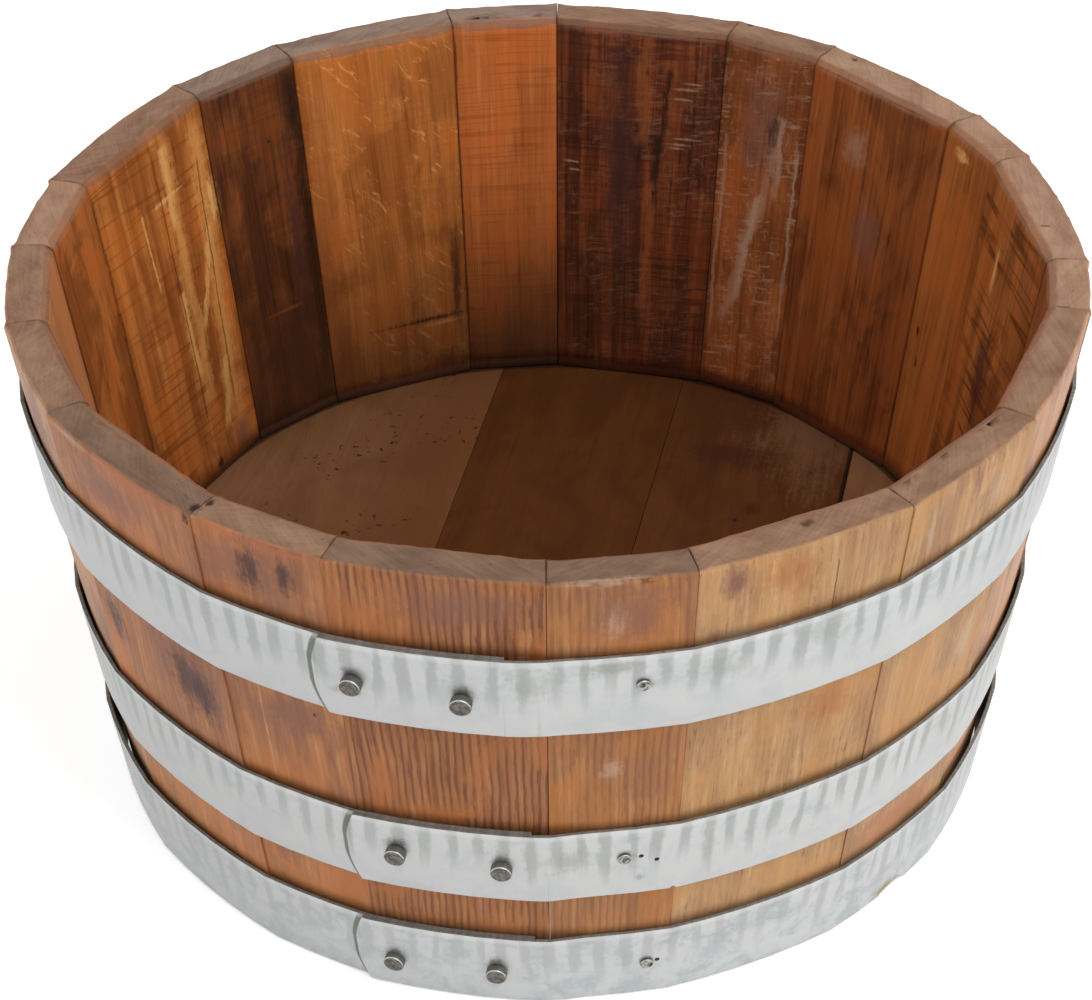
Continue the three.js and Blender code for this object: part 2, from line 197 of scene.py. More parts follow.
def weather(piece: Piece, depth: float, grain: float, test: Callable[[Vector], bool]) -> None:
    """Sinks the surface of a piece here and there, as wear does, never outwards.

    Args:
        piece: the piece.
        depth: the deepest that it sinks.
        grain: the size of the dents.
        test: says of a point whether it wears.
    """
    group = piece.vertex_groups.new(name="worn")
    group.add([vertex.index for vertex in piece.data.vertices if test(vertex.co)], 1.0, "REPLACE")
    pattern = bpy.data.textures.new("wear", "CLOUDS")
    pattern.noise_scale = grain
    pattern.noise_depth = 2
    refine(piece, "DISPLACE", texture=pattern, strength=depth, mid_level=1.0,
           texture_coords="LOCAL", direction="NORMAL", vertex_group="worn")
    piece.vertex_groups.clear()


def ease(piece: Piece, test: Callable[[object], bool], width: float, steps: int) -> None:
    """Rounds the picked edges of a piece.

    Args:
        piece: the piece.
        test: says of one bmesh edge whether it is rounded.
        width: how far the rounding reaches from the edge.
        steps: faces across the rounding.
    """
    with editing(piece):
        pick(piece, "EDGE", test)
        bpy.ops.mesh.bevel(offset=width, segments=steps, affect="EDGES", clamp_overlap=True)


def smooth(piece: Piece, degrees: float) -> None:
    """Shades a piece smooth, but for edges sharper than an angle."""
    take(piece)
    bpy.ops.object.shade_smooth_by_angle(angle=math.radians(degrees))


def is_sharp(edge: object, degrees: float, longest: float) -> bool:
    """Whether an edge turns by more than an angle and is at least so long."""
    return (len(edge.link_faces) == 2 and edge.calc_length() > longest
            and edge.calc_face_angle() > math.radians(degrees))


def hand_over(piece: Piece, node: str, finish: bpy.types.Material) -> None:
    """Dresses a finished piece, rides it on the tub and lets it stand for its node.

    Args:
        piece: the piece.
        node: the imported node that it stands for.
        finish: the piece's material.
    """
    piece.data.materials.append(finish)
    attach(piece, BODY)
    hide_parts(node)
    log.info("%s: %d faces", piece.name, len(piece.data.polygons))


# ---- Drawing node trees ------------------------------------------------------------------------

Input = Union[float, Sequence[float], "Term"]
VECTORS = ("Vector", "Facing", "Place")  # sockets of the shared effects that are vectors
MIX_SHARE, MIX_FIRST, MIX_SECOND, MIX_RESULT = 0, 6, 7, 2  # a Mix node's sockets for colours


def joined(operation: str, swapped: bool = False) -> Callable[["Term", Input], "Term"]:
    """Makes an operator that joins two values in one Math node.

    Args:
        operation: what the node does with them.
        swapped: whether the term stands on the right.

    Returns:
        The operator, as a method of Term.
    """

    def operator(term: "Term", other: Input) -> "Term":
        """This value and another, joined."""
        return term.sketch.math(operation, *((other, term) if swapped else (term, other)))

    return operator


@dataclass
class Term:
    """A value in a node tree, which adds and multiplies like a number."""

    sketch: "Sketch"
    socket: bpy.types.NodeSocket

    __add__ = joined("ADD")
    __radd__ = joined("ADD", swapped=True)
    __sub__ = joined("SUBTRACT")
    __rsub__ = joined("SUBTRACT", swapped=True)
    __mul__ = joined("MULTIPLY")
    __rmul__ = joined("MULTIPLY", swapped=True)
    __truediv__ = joined("DIVIDE")

    def __abs__(self) -> "Term":
        """This value without its sign."""
        return self.sketch.math("ABSOLUTE", self)


class Sketch:
    """A node tree being drawn: each method adds a node and gives its output."""

    def __init__(self, tree: bpy.types.NodeTree) -> None:
        """Starts drawing in a tree."""
        self.tree = tree

    def node(self, kind: str, **settings: object) -> bpy.types.Node:
        """Adds a node of a kind with these settings."""
        made = self.tree.nodes.new(kind)
        for name, value in settings.items():
            setattr(made, name, value)
        return made

    def feed(self, socket: bpy.types.NodeSocket, value: Input) -> None:
        """Links a term to an input, or sets the input to a number, vector or colour."""
        if isinstance(value, Term):
            self.tree.links.new(value.socket, socket)
        elif socket.type == "RGBA":
            socket.default_value = (*value, 1.0)
        else:
            socket.default_value = value

    def fill(self, node: bpy.types.Node, values: Dict[str, Input]) -> None:
        """Feeds a node's inputs by name."""
        for name, value in values.items():
            self.feed(node.inputs[name], value)

    def draw(self, kind: str, *values: Input, **settings: object) -> Term:
        """Adds a node and feeds its inputs in order.

        Args:
            kind: the kind of node.
            values: what its first inputs get.
            settings: its settings.

        Returns:
            Its first output.
        """
        made = self.node(kind, **settings)
        for socket, value in zip(made.inputs, values):
            self.feed(socket, value)
        return Term(self, made.outputs[0])

    def math(self, operation: str, *values: Input) -> Term:
        """One Math node."""
        return self.draw("ShaderNodeMath", *values, operation=operation)

    def vector(self, x: Input, y: Input, z: Input) -> Term:
        """A vector from three values."""
        return self.draw("ShaderNodeCombineXYZ", x, y, z)

    def split(self, vector: Term) -> List[Term]:
        """The three values of a vector."""
        made = self.node("ShaderNodeSeparateXYZ")
        self.feed(made.inputs[0], vector)
        return [Term(self, socket) for socket in made.outputs]

    def length(self, x: Term, y: Term) -> Term:
        """How far a place is from the middle, from its two sides."""
        return self.math("SQRT", x * x + y * y)

    def azimuth(self, x: Term, y: Term) -> Term:
        """Azimuth of a place about the tub's middle, in radians."""
        return self.math("ARCTAN2", x, y * -1.0)

    def fade(self, value: Input, start: Input, stop: Input) -> Term:
        """0 before start, 1 after stop, and smooth between them."""
        return self.draw("ShaderNodeMapRange", value, start, stop, 0.0, 1.0,
                         interpolation_type="SMOOTHSTEP")

    def noise(self, x: Input, y: Input, z: Input, detail: float, roughness: float,
              distortion: float = 0.0) -> Term:
        """Cloudy noise from 0 to 1, one cloud a unit.

        Args:
            x: the place in the noise, across.
            y: the place in depth.
            z: the place along.
            detail: how many finer layers it has.
            roughness: how strong they are.
            distortion: how far it is swirled.

        Returns:
            The noise.
        """
        where = self.vector(x, y, z)
        made = self.node("ShaderNodeTexNoise")
        self.fill(made, {"Vector": where, "Scale": 1.0, "Detail": detail, "Roughness": roughness,
                         "Distortion": distortion})
        return Term(self, made.outputs[0])

    def either(self, share: Term, first: Input, second: Input) -> Term:
        """The first value where share is 0, and the second where it is 1."""
        return share * self.math("SUBTRACT", second, first) + first

    def mix(self, share: Input, first: Input, second: Input) -> Term:
        """The first colour where share is 0, and the second where it is 1."""
        made = self.node("ShaderNodeMix", data_type="RGBA")
        for number, value in ((MIX_SHARE, share), (MIX_FIRST, first), (MIX_SECOND, second)):
            self.feed(made.inputs[number], value)
        return Term(self, made.outputs[MIX_RESULT])

    def layered(self, colour: Input, *coats: Tuple[Input, Input]) -> Input:
        """A colour under coats, each given by how far it covers and its own colour."""
        for share, coat in coats:
            colour = self.mix(share, colour, coat)
        return colour

    def surface(self) -> Tuple[Term, Term]:
        """The place on the object, and the way that its surface faces there."""
        made = self.node("ShaderNodeTexCoord")
        return Term(self, made.outputs["Object"]), Term(self, made.outputs["Normal"])

    def rotated(self, place: Term, degrees: float) -> Term:
        """A place turned about the tub's upright axis."""
        made = self.node("ShaderNodeMapping")
        self.fill(made, {"Rotation": (0.0, 0.0, math.radians(degrees)), "Vector": place})
        return Term(self, made.outputs[0])

    def use(self, effect: "Effect", **values: Input) -> Dict[str, Term]:
        """Places a shared effect with its own values, and gives its outputs by name."""
        made = self.node("ShaderNodeGroup", node_tree=effect.tree)
        self.fill(made, values)
        return {socket.name: Term(self, socket) for socket in made.outputs}

    def end(self, shader: bpy.types.Node, kind: str) -> None:
        """Links a shader to the output of a Material or World."""
        output = self.node(f"ShaderNodeOutput{kind}")
        self.tree.links.new(shader.outputs[0], output.inputs["Surface"])


class Effect(Sketch):
    """A shader node group: an effect that more than one finish uses."""

    def __init__(self, name: str, takes: Sequence[str], gives: Sequence[str]) -> None:
        """Opens a group.

        Args:
            name: the group's name.
            takes: the inputs. Those in VECTORS are vectors, and the others are values.
            gives: the outputs, likewise.
        """
        super().__init__(bpy.data.node_groups.new(name, "ShaderNodeTree"))
        for way, labels in (("INPUT", takes), ("OUTPUT", gives)):
            for label in labels:
                kind = "NodeSocketVector" if label in VECTORS else "NodeSocketFloat"
                self.tree.interface.new_socket(name=label, in_out=way, socket_type=kind)
        entry = self.node("NodeGroupInput")
        self.exit = self.node("NodeGroupOutput")
        self.given = {socket.name: Term(self, socket) for socket in entry.outputs if socket.name}

    def give(self, **values: Input) -> "Effect":
        """Links the outputs, and gives the finished group."""
        self.fill(self.exit, values)
        return self


# ---- Shared effects ----------------------------------------------------------------------------


def stave_place() -> Effect:
    """Where a point lies on a stave that has been turned to the front.

    Place is the distance across at the rim's radius, the depth below the outer face and the
    height. Inside is 1 on the inner face, Sawn on the cut ends, Eased on the eased edges between
    them, and Seam along the joints with the neighbours.
    """
    effect = Effect(
        "stave place",
        ["Vector", "Facing", "Half Angle"],
        ["Place", "Inside", "Sawn", "Eased", "Seam"],
    )
    x, y, height = effect.split(effect.given["Vector"])
    upwards = abs(effect.split(effect.given["Facing"])[2])
    angle = effect.azimuth(x, y)
    radius = effect.length(x, y)
    taper = (TUB.rim_radius - TUB.base_radius) / TUB.height
    depth = height * taper + TUB.base_radius - radius
    sawn = effect.math("MAXIMUM", effect.fade(upwards, 0.90, 0.97),
                       effect.fade(height, TUB.height - 1.3 * MM, TUB.height - 0.5 * MM))
    to_seam = (effect.given["Half Angle"] - abs(angle)) * radius
    return effect.give(
        Place=effect.vector(angle * TUB.rim_radius, depth, height),
        Inside=effect.fade(depth, 0.45 * TUB.wall, 0.6 * TUB.wall),
        Sawn=sawn,
        Eased=effect.fade(upwards, 0.25, 0.5) * (1.0 - sawn),
        Seam=1.0 - effect.fade(to_seam, 0.1 * MM, 0.8 * MM),
    )


def long_grain() -> Effect:
    """Oak along the grain, from broad streaks down to single pores, with its relief.

    Wander bends the lines, and Stretch breaks them up into shorter ones.
    """
    effect = Effect(
        "long grain",
        ["Place", "Seed", "Wander", "Stretch"],
        ["Streaks", "Ribs", "Lines", "Pale", "Pores", "Fibre", "Clouds", "Relief"],
    )
    across, depth, along = effect.split(effect.given["Place"])
    seed = effect.given["Seed"] * 7.3
    short = along * effect.given["Stretch"]
    warp = effect.noise(across * 14 + seed, depth * 10, along * 6 + seed, 2, 0.5)
    bent = across + (warp - 0.5) * effect.given["Wander"]
    streaks = effect.noise(bent * 95 + seed, depth * 40, short * 2.5, 3, 0.6)
    lines = effect.noise(bent * 330 + seed, depth * 150, short * 10 + seed, 3, 0.65)
    pores = effect.noise(bent * 800, depth * 400 + seed, short * 40, 3, 0.6, 0.3)
    fibre = effect.noise(bent * 1100 + seed, depth * 600, along * 40, 2, 0.6)
    clouds = effect.noise(across * 30 + seed, depth * 26, along * 20 + seed, 4, 0.62, 0.6)
    ribs = effect.math("SINE", bent * 1850 + depth * 900 + lines * 5 + clouds * 6) * 0.5 + 0.5
    dark_lines = effect.fade(lines, 0.51, 0.66)
    open_pores = effect.fade(pores, 0.55, 0.64) * (dark_lines * 0.65 + 0.35)
    return effect.give(
        Streaks=effect.fade(streaks, 0.36, 0.64),
        Ribs=effect.fade(ribs + (fibre - 0.5) * 0.6, 0.35, 1.0) * effect.fade(clouds, 0.34, 0.56),
        Lines=dark_lines,
        Pale=1.0 - effect.fade(lines, 0.32, 0.48),
        Pores=open_pores,
        Fibre=effect.fade(fibre, 0.38, 0.66),
        Clouds=clouds,
        Relief=fibre * 0.3 - dark_lines * 0.25 - open_pores * 0.5,
    )


def end_grain() -> Effect:
    """Oak across the grain: soft arcs of growth rings under slanting saw lines."""
    effect = Effect("end grain", ["Place", "Seed"], ["Tone", "Specks", "Relief"])
    across, depth, _ = effect.split(effect.given["Place"])
    seed = effect.given["Seed"]
    side = across - effect.math("SINE", seed * 2.1) * 0.11
    rise = depth + effect.math("COSINE", seed * 1.3) * 0.05 + 0.1
    distance = effect.length(side, rise)
    rings = effect.noise(distance * 500, across * 12 + seed, seed, 2, 0.6)
    lean = effect.math("SINE", seed * 5.7) * 0.8
    saw = effect.noise((depth + across * lean) * 700, across * 40 + seed, seed, 3, 0.6)
    mottle = effect.noise(across * 45, depth * 80, seed * 3.0, 4, 0.6)
    specks = effect.noise(across * 260 + seed, depth * 420, 1.3, 3, 0.6)
    return effect.give(
        Tone=effect.fade(rings * 0.25 + saw * 0.35 + mottle * 0.75, 0.42, 0.92),
        Specks=effect.fade(specks, 0.68, 0.74),
        Relief=saw * 0.3 + rings * 0.1,
    )


def saw_marks() -> Effect:
    """Thin level lines that a saw has left across the grain, so many a metre."""
    effect = Effect(
        "saw marks", ["Place", "Seed", "Count"], ["Lines"])
    across, _, along = effect.split(effect.given["Place"])
    seed = effect.given["Seed"] * 3.7
    bow = effect.noise(across * 9 + seed, seed, along * 5, 2, 0.5)
    level = (along + (bow - 0.5) * 8 * MM) * effect.given["Count"]
    cuts = effect.noise(across * 6 + seed, seed, level, 1, 0.4)
    thin = 1.0 - effect.fade(abs(cuts - 0.5), 0.004, 0.05)
    drifts = effect.noise(across * 40 + seed, seed * 2.0, along * 30, 3, 0.6)
    return effect.give(Lines=thin * (effect.fade(drifts, 0.36, 0.6) * 0.75 + 0.25))


def ray_flecks() -> Effect:
    """Pale slanting flecks where the wood's rays come to the surface."""
    effect = Effect("ray flecks", ["Place", "Seed"], ["Flecks"])
    across, _, along = effect.split(effect.given["Place"])
    seed = effect.given["Seed"] * 2.9
    run = across * 0.75 + along * 0.66
    side = along * 0.75 - across * 0.66
    flecks = effect.noise(run * 85 + seed, seed, side * 300, 3, 0.6, 1.1)
    drifts = effect.noise(across * 50 + seed, 3.1, along * 40, 4, 0.65)
    return effect.give(Flecks=effect.fade(flecks, 0.56, 0.66) * effect.fade(drifts, 0.46, 0.6))


def scratches() -> Effect:
    """Pale strokes across the grain, and flakes torn out of it."""
    effect = Effect("scratches", ["Place", "Seed"], ["Strokes"])
    across, _, along = effect.split(effect.given["Place"])
    seed = effect.given["Seed"] * 4.1
    level = along + across * 0.16
    strokes = effect.noise(across * 70 + seed, seed, level * 520, 3, 0.6, 0.5)
    flakes = effect.noise(across * 260, seed + 3.3, along * 170, 4, 0.7, 1.0)
    drifts = effect.noise(across * 60 + seed, 1.7, along * 30, 5, 0.7)
    either = effect.math(
        "MAXIMUM", effect.fade(strokes, 0.53, 0.68), effect.fade(flakes, 0.50, 0.70) * 0.8)
    return effect.give(Strokes=either * effect.fade(drifts, 0.42, 0.58))


def patch() -> Effect:
    """A soft-edged stain, scuff or knot at one place."""
    effect = Effect(
        "patch",
        ["Place", "Across", "Height", "Wide", "Tall"],
        ["Mask"],
    )
    across, _, along = effect.split(effect.given["Place"])
    wide, tall = effect.given["Wide"], effect.given["Tall"]
    ragged = effect.noise(across / wide * 1.6, wide * 900, along / tall * 1.6, 4, 0.62)
    sideways = (across - effect.given["Across"]) / wide
    upwards = (along - effect.given["Height"]) / tall
    fibre = effect.noise(across * 600, wide * 300, along * 55, 3, 0.6)
    grit = effect.noise(across * 420, wide * 500, along * 330, 4, 0.7)
    reach = effect.length(sideways, upwards)
    reach = reach + (ragged - 0.5) * 1.4 + (fibre - 0.5) * 1.1 + (grit - 0.5) * 1.1
    return effect.give(Mask=1.0 - effect.fade(reach, 0.15, 1.1))


def stroke() -> Effect:
    """A crack, groove or ragged gash that runs down from one place, leaning a little."""
    effect = Effect(
        "stroke",
        ["Place", "Across", "Height", "Run", "Lean",
         "Width"],
        ["Mask"],
    )
    across, _, along = effect.split(effect.given["Place"])
    width = effect.given["Width"]
    down = effect.given["Height"] - along
    ragged = effect.noise(across * 260, width * 900, along * 150, 5, 0.75)
    fibre = effect.noise(across * 900, width * 400, along * 50, 3, 0.65)
    shake = effect.noise(effect.given["Across"] * 90, 1.7, along * 50, 4, 0.7)
    line = (effect.given["Across"] + effect.given["Lean"] * down
            + (shake - 0.5) * (width * 2.2 + 1 * MM))
    reach = abs(across - line) / width + (ragged - 0.5) * 2.4 + (fibre - 0.5) * 1.8
    length = effect.given["Run"]
    inside_run = (effect.fade(down, 0.0, length * 0.06)
                  * (1.0 - effect.fade(down, length * 0.85, length)))
    body = effect.fade(fibre + ragged, 0.75, 1.15) * 0.5 + 0.5
    return effect.give(Mask=(1.0 - effect.fade(reach, 0.2, 1.0)) * inside_run * body)


LONG_GRAIN = long_grain()
END_GRAIN = end_grain()
STAVE_PLACE = stave_place()
SAW_MARKS = saw_marks()
RAY_FLECKS = ray_flecks()
SCRATCHES = scratches()
PATCH = patch()
STROKE = stroke()


# ---- Finishes ----------------------------------------------------------------------------------


class Tone(Enum):
    """Tones of the oak, each as its dark lines, its body and its light fibre."""

    TAN = ((0.27, 0.105, 0.036), (0.585, 0.325, 0.140), (0.76, 0.50, 0.28))
    HONEY = ((0.21, 0.066, 0.019), (0.47, 0.195, 0.066), (0.66, 0.34, 0.145))
    BROWN = ((0.14, 0.040, 0.012), (0.46, 0.170, 0.060), (0.66, 0.32, 0.135))
    RUSSET = ((0.17, 0.048, 0.018), (0.55, 0.215, 0.080), (0.70, 0.35, 0.160))
    ROSY = ((0.26, 0.105, 0.055), (0.60, 0.320, 0.175), (0.72, 0.45, 0.28))
    GOLDEN = ((0.22, 0.050, 0.007), (0.61, 0.200, 0.042), (0.82, 0.37, 0.105))
    ORANGE = ((0.25, 0.054, 0.009), (0.62, 0.175, 0.040), (0.80, 0.28, 0.080))
    AMBER = ((0.17, 0.044, 0.007), (0.54, 0.165, 0.036), (0.68, 0.26, 0.070))
    CHESTNUT = ((0.09, 0.021, 0.005), (0.38, 0.108, 0.027), (0.56, 0.195, 0.055))
    MAROON = ((0.030, 0.007, 0.004), (0.25, 0.058, 0.016), (0.46, 0.13, 0.04))
    UMBER = ((0.024, 0.007, 0.003), (0.240, 0.070, 0.018), (0.38, 0.125, 0.038))

    @property
    def dark(self) -> Colour:
        """The dark lines."""
        return self.value[0]

    @property
    def all(self) -> Tuple[Colour, ...]:
        """Dark, body and light, and a warmer body for the smooth parts."""
        red, green, blue = self.value[1]
        return (*self.value, (red * 1.12, green * 0.92, blue * 0.68))


class SawnTone(Enum):
    """Tones of the sawn rim, each as its shade and its light."""

    DULL = ((0.145, 0.078, 0.049), (0.26, 0.158, 0.104))
    MIDDLE = ((0.205, 0.104, 0.062), (0.36, 0.212, 0.134))
    PALE = ((0.29, 0.152, 0.090), (0.46, 0.282, 0.182))
    GREY = ((0.20, 0.121, 0.086), (0.35, 0.240, 0.180))


class Kind(Enum):
    """What a mark on the wood is, as its colour and how strongly it covers."""

    STAIN = ((0.060, 0.022, 0.020), 0.8)
    MAUVE = ((0.255, 0.112, 0.076), 0.7)
    SCUFF = ((0.60, 0.42, 0.28), 0.55)
    KNOT = ((0.020, 0.008, 0.004), 0.95)
    GOUGE = ((0.92, 0.50, 0.16), 0.95)
    ASHEN = ((0.46, 0.27, 0.17), 0.7)
    DARK = ((0.055, 0.016, 0.005), 0.8)
    GLOW = ((0.44, 0.135, 0.034), 0.5)
    GLEAM = ((0.86, 0.42, 0.12), 0.7)
    LIP = ((0.50, 0.175, 0.085), 0.8)
    DUST = ((0.26, 0.125, 0.065), 0.5)
    RUST = ((0.33, 0.25, 0.16), 0.9)

    @property
    def tint(self) -> Colour:
        """Its colour."""
        return self.value[0]


class DirtAndShade(Enum):
    """Colours of dirt and painted shade on the wood: painted shade with grime above the hoops and
    low inside, dirt in the seams, and painted shade with dirt round the floor.
    """

    # painted shade with grime: darker above the hoops and low inside
    GRIME = (0.045, 0.016, 0.006)
    SEAM = (0.04, 0.016, 0.008)
    # painted shade with dirt round the floor's edge, and the dark of its seam gap
    FLOOR = (0.012, 0.005, 0.002)


class Face(Enum):
    """The faces of a stave that carry marks. On the rim a mark's height is its depth instead."""

    OUTER = 0
    INNER = 1
    RIM = 2


@dataclass(frozen=True)
class Mark:
    """A patch of colour on a stave, by azimuth in degrees and the rest in millimetres.

    Attributes:
        kind: what it is.
        azimuth: where its middle is.
        height: how high its middle is.
        wide: half its width.
        tall: half its height.
    """

    kind: Kind
    azimuth: float
    height: float
    wide: float
    tall: float

    def mask(self, sketch: Sketch, place: Term, across: float) -> Term:
        """Where the patch is, its middle so far across the stave."""
        return sketch.use(
            PATCH, Place=place, Across=across, Height=self.height * MM,
            Wide=self.wide * MM, Tall=self.tall * MM)["Mask"]


@dataclass(frozen=True)
class Gash:
    """A crack, groove or gash that runs down a stave, by azimuth and in millimetres.

    Attributes:
        kind: what it is.
        azimuth: where its upper end is.
        height: how high its upper end is.
        run: its length.
        lean: how far it goes sideways for each step down.
        width: half its width.
    """

    kind: Kind
    azimuth: float
    height: float
    run: float
    lean: float
    width: float

    def mask(self, sketch: Sketch, place: Term, across: float) -> Term:
        """Where the gash is, its upper end so far across the stave."""
        return sketch.use(
            STROKE, Place=place, Across=across, Height=self.height * MM, Run=self.run * MM,
            Lean=self.lean, Width=self.width * MM)["Mask"]


MARKS: Dict[Face, Tuple[Union[Mark, Gash], ...]] = {
    Face.OUTER: (  # from the left
        Mark(Kind.MAUVE, 292, 222, 30, 24), Mark(Kind.MAUVE, 296, 125, 18, 22),
        Mark(Kind.STAIN, 302.5, 143, 9, 17), Mark(Kind.MAUVE, 309, 226, 34, 20),
        Mark(Kind.LIP, 314, 241, 46, 6), Mark(Kind.SCUFF, 303, 242, 16, 3),
        Mark(Kind.LIP, 330, 241, 26, 5), Mark(Kind.MAUVE, 316, 150, 28, 34),
        Mark(Kind.STAIN, 316.5, 140, 18, 23), Mark(Kind.STAIN, 318, 138, 9, 13),
        Mark(Kind.KNOT, 321.9, 242, 2.5, 4), Mark(Kind.MAUVE, 327, 224, 32, 20),
        Mark(Kind.STAIN, 328.6, 227, 6.5, 15), Mark(Kind.STAIN, 332.9, 229, 5, 11),
        Gash(Kind.SCUFF, 326.9, 163, 60, 0.0, 0.8), Mark(Kind.KNOT, 333.6, 154, 1.0, 1.4),
        Mark(Kind.MAUVE, 331, 150, 24, 14), Mark(Kind.MAUVE, 349, 231, 34, 14),
        Mark(Kind.SCUFF, 5.5, 140, 6, 7), Mark(Kind.SCUFF, 5.5, 222, 6, 11),
        Mark(Kind.SCUFF, 4, 243, 17, 2), Mark(Kind.MAUVE, 7, 228, 22, 17),
        Mark(Kind.MAUVE, 17, 234, 7, 13), Mark(Kind.MAUVE, 17.3, 236, 4, 8),
        Mark(Kind.GLOW, 23, 231, 16, 14), Mark(Kind.SCUFF, 18, 205, 14, 4),
        Mark(Kind.GLOW, 30, 150, 20, 14), Mark(Kind.SCUFF, 40, 222, 3, 15),
        Mark(Kind.MAUVE, 46.5, 235, 4, 12), Mark(Kind.LIP, 46, 50, 40, 14),
        Mark(Kind.SCUFF, 51, 221, 8, 12), Mark(Kind.SCUFF, 52, 137, 8, 12),
        Gash(Kind.DARK, 28.2, 232, 48, 0.03, 0.5),
    ),
    Face.RIM: (
        Mark(Kind.KNOT, 322.2, 5, 3.5, 3.5), Mark(Kind.KNOT, 323, 11, 1.5, 3),
        Mark(Kind.SCUFF, 5, 1.5, 20, 2.2), Mark(Kind.DARK, 25.9, 14, 4, 2.5),
        Mark(Kind.DARK, 94.6, 15, 1.2, 3), Mark(Kind.KNOT, 138.9, 7, 2, 1.5),
        Mark(Kind.KNOT, 153.7, 3, 2, 2),
    ),
    Face.INNER: (  # from the right
        Mark(Kind.GOUGE, 102, 206, 3, 13), Mark(Kind.STAIN, 99, 160, 14, 26),
        Mark(Kind.KNOT, 118.2, 142, 1.6, 3), Mark(Kind.KNOT, 117.3, 127, 1.6, 4),
        Mark(Kind.GOUGE, 116.4, 235, 7, 4), Mark(Kind.ASHEN, 134, 213, 10, 12),
        Mark(Kind.MAUVE, 130, 174, 14, 18), Mark(Kind.MAUVE, 149, 205, 17, 38),
        Gash(Kind.ASHEN, 146.6, 214, 60, 0.1, 4.0), Gash(Kind.ASHEN, 149.0, 168, 70, 0.2, 4.5),
        Gash(Kind.ASHEN, 154, 200, 110, 0.02, 1.6), Gash(Kind.SCUFF, 146.2, 212, 45, 0.0, 2.4),
        Gash(Kind.SCUFF, 148.6, 172, 64, 0.16, 3.2), Gash(Kind.SCUFF, 143.6, 200, 105, 0.0, 1.6),
        Mark(Kind.STAIN, 147.5, 205, 5, 14), Mark(Kind.STAIN, 169, 175, 13, 80),
        Gash(Kind.KNOT, 162.2, 228, 82, 0.10, 2.8), Gash(Kind.GLOW, 164.2, 170, 75, 0.03, 4),
        Gash(Kind.GLOW, 165.6, 242, 60, 0.0, 5),
        *(Mark(Kind.ASHEN, azimuth, height, wide, 0.8) for azimuth, height, wide in
          ((160, 216, 9), (159, 219, 6), (160.5, 211, 7), (159.5, 191, 10), (160.5, 188, 7),
           (161, 186, 5), (175.5, 174, 5), (175, 170, 4))),
        Mark(Kind.KNOT, 197.5, 97.5, 34, 2.0), Mark(Kind.GLEAM, 195, 94.5, 18, 1.4),
        Mark(Kind.DARK, 192.5, 120, 4, 30), Gash(Kind.DARK, 190.9, 243, 175, 0.0, 0.9),
        Gash(Kind.KNOT, 213.8, 243, 180, 0.0, 5.5), Mark(Kind.GLOW, 211.6, 150, 6, 80),
        Mark(Kind.STAIN, 195, 74, 24, 8), Mark(Kind.KNOT, 218.4, 210, 1.2, 1.2),
        Mark(Kind.GLOW, 219.7, 124, 15, 1.2), Mark(Kind.STAIN, 216.0, 150, 6, 75),
        Gash(Kind.GLEAM, 229.6, 240, 170, 0.06, 9.0), Gash(Kind.GLEAM, 236.0, 241, 150, 0.03, 7.0),
        Gash(Kind.GOUGE, 236.8, 236, 44, 0.0, 4.0), Mark(Kind.GOUGE, 237.5, 211, 14, 2.0),
        Mark(Kind.GOUGE, 228.7, 195, 5, 15), Gash(Kind.GOUGE, 230.2, 186, 50, 0.4, 3.4),
        Gash(Kind.GOUGE, 243.3, 213, 44, -0.07, 1.2), Gash(Kind.GOUGE, 238.4, 165, 50, 0.0, 3.6),
        Gash(Kind.GOUGE, 232.2, 120, 38, 0.25, 4.0), Gash(Kind.DARK, 251.6, 240, 175, 0.0, 1.8),
        Mark(Kind.KNOT, 237.8, 70, 4, 5), Gash(Kind.DARK, 238.9, 238, 155, -0.01, 0.9),
        Gash(Kind.DARK, 230.2, 222, 140, 0.05, 0.9), Mark(Kind.MAUVE, 231, 76, 10, 9),
    ),
}


@dataclass(frozen=True)
class Surface:
    """How the grain shows on one face of a stave or board.

    Attributes:
        tone: the wood's tone.
        lines: strength of the long dark lines, from 0 to 1.
        streaks: strength of the broad streaks.
        ribs: strength of the fine, even growth lines.
        pores: strength of the short dark pores.
        wander: how far the lines bend, in millimetres.
        saw: strength of level saw marks.
        cuts: how close the saw marks are, as a count in a metre.
        rays: strength of ray flecks.
        scratches: strength of pale scratches.
    """

    tone: Tone
    lines: float = 0.4
    streaks: float = 0.35
    ribs: float = 0.25
    pores: float = 0.4
    wander: float = 12.0
    saw: float = 0.0
    cuts: float = 150.0
    rays: float = 0.0
    scratches: float = 0.0


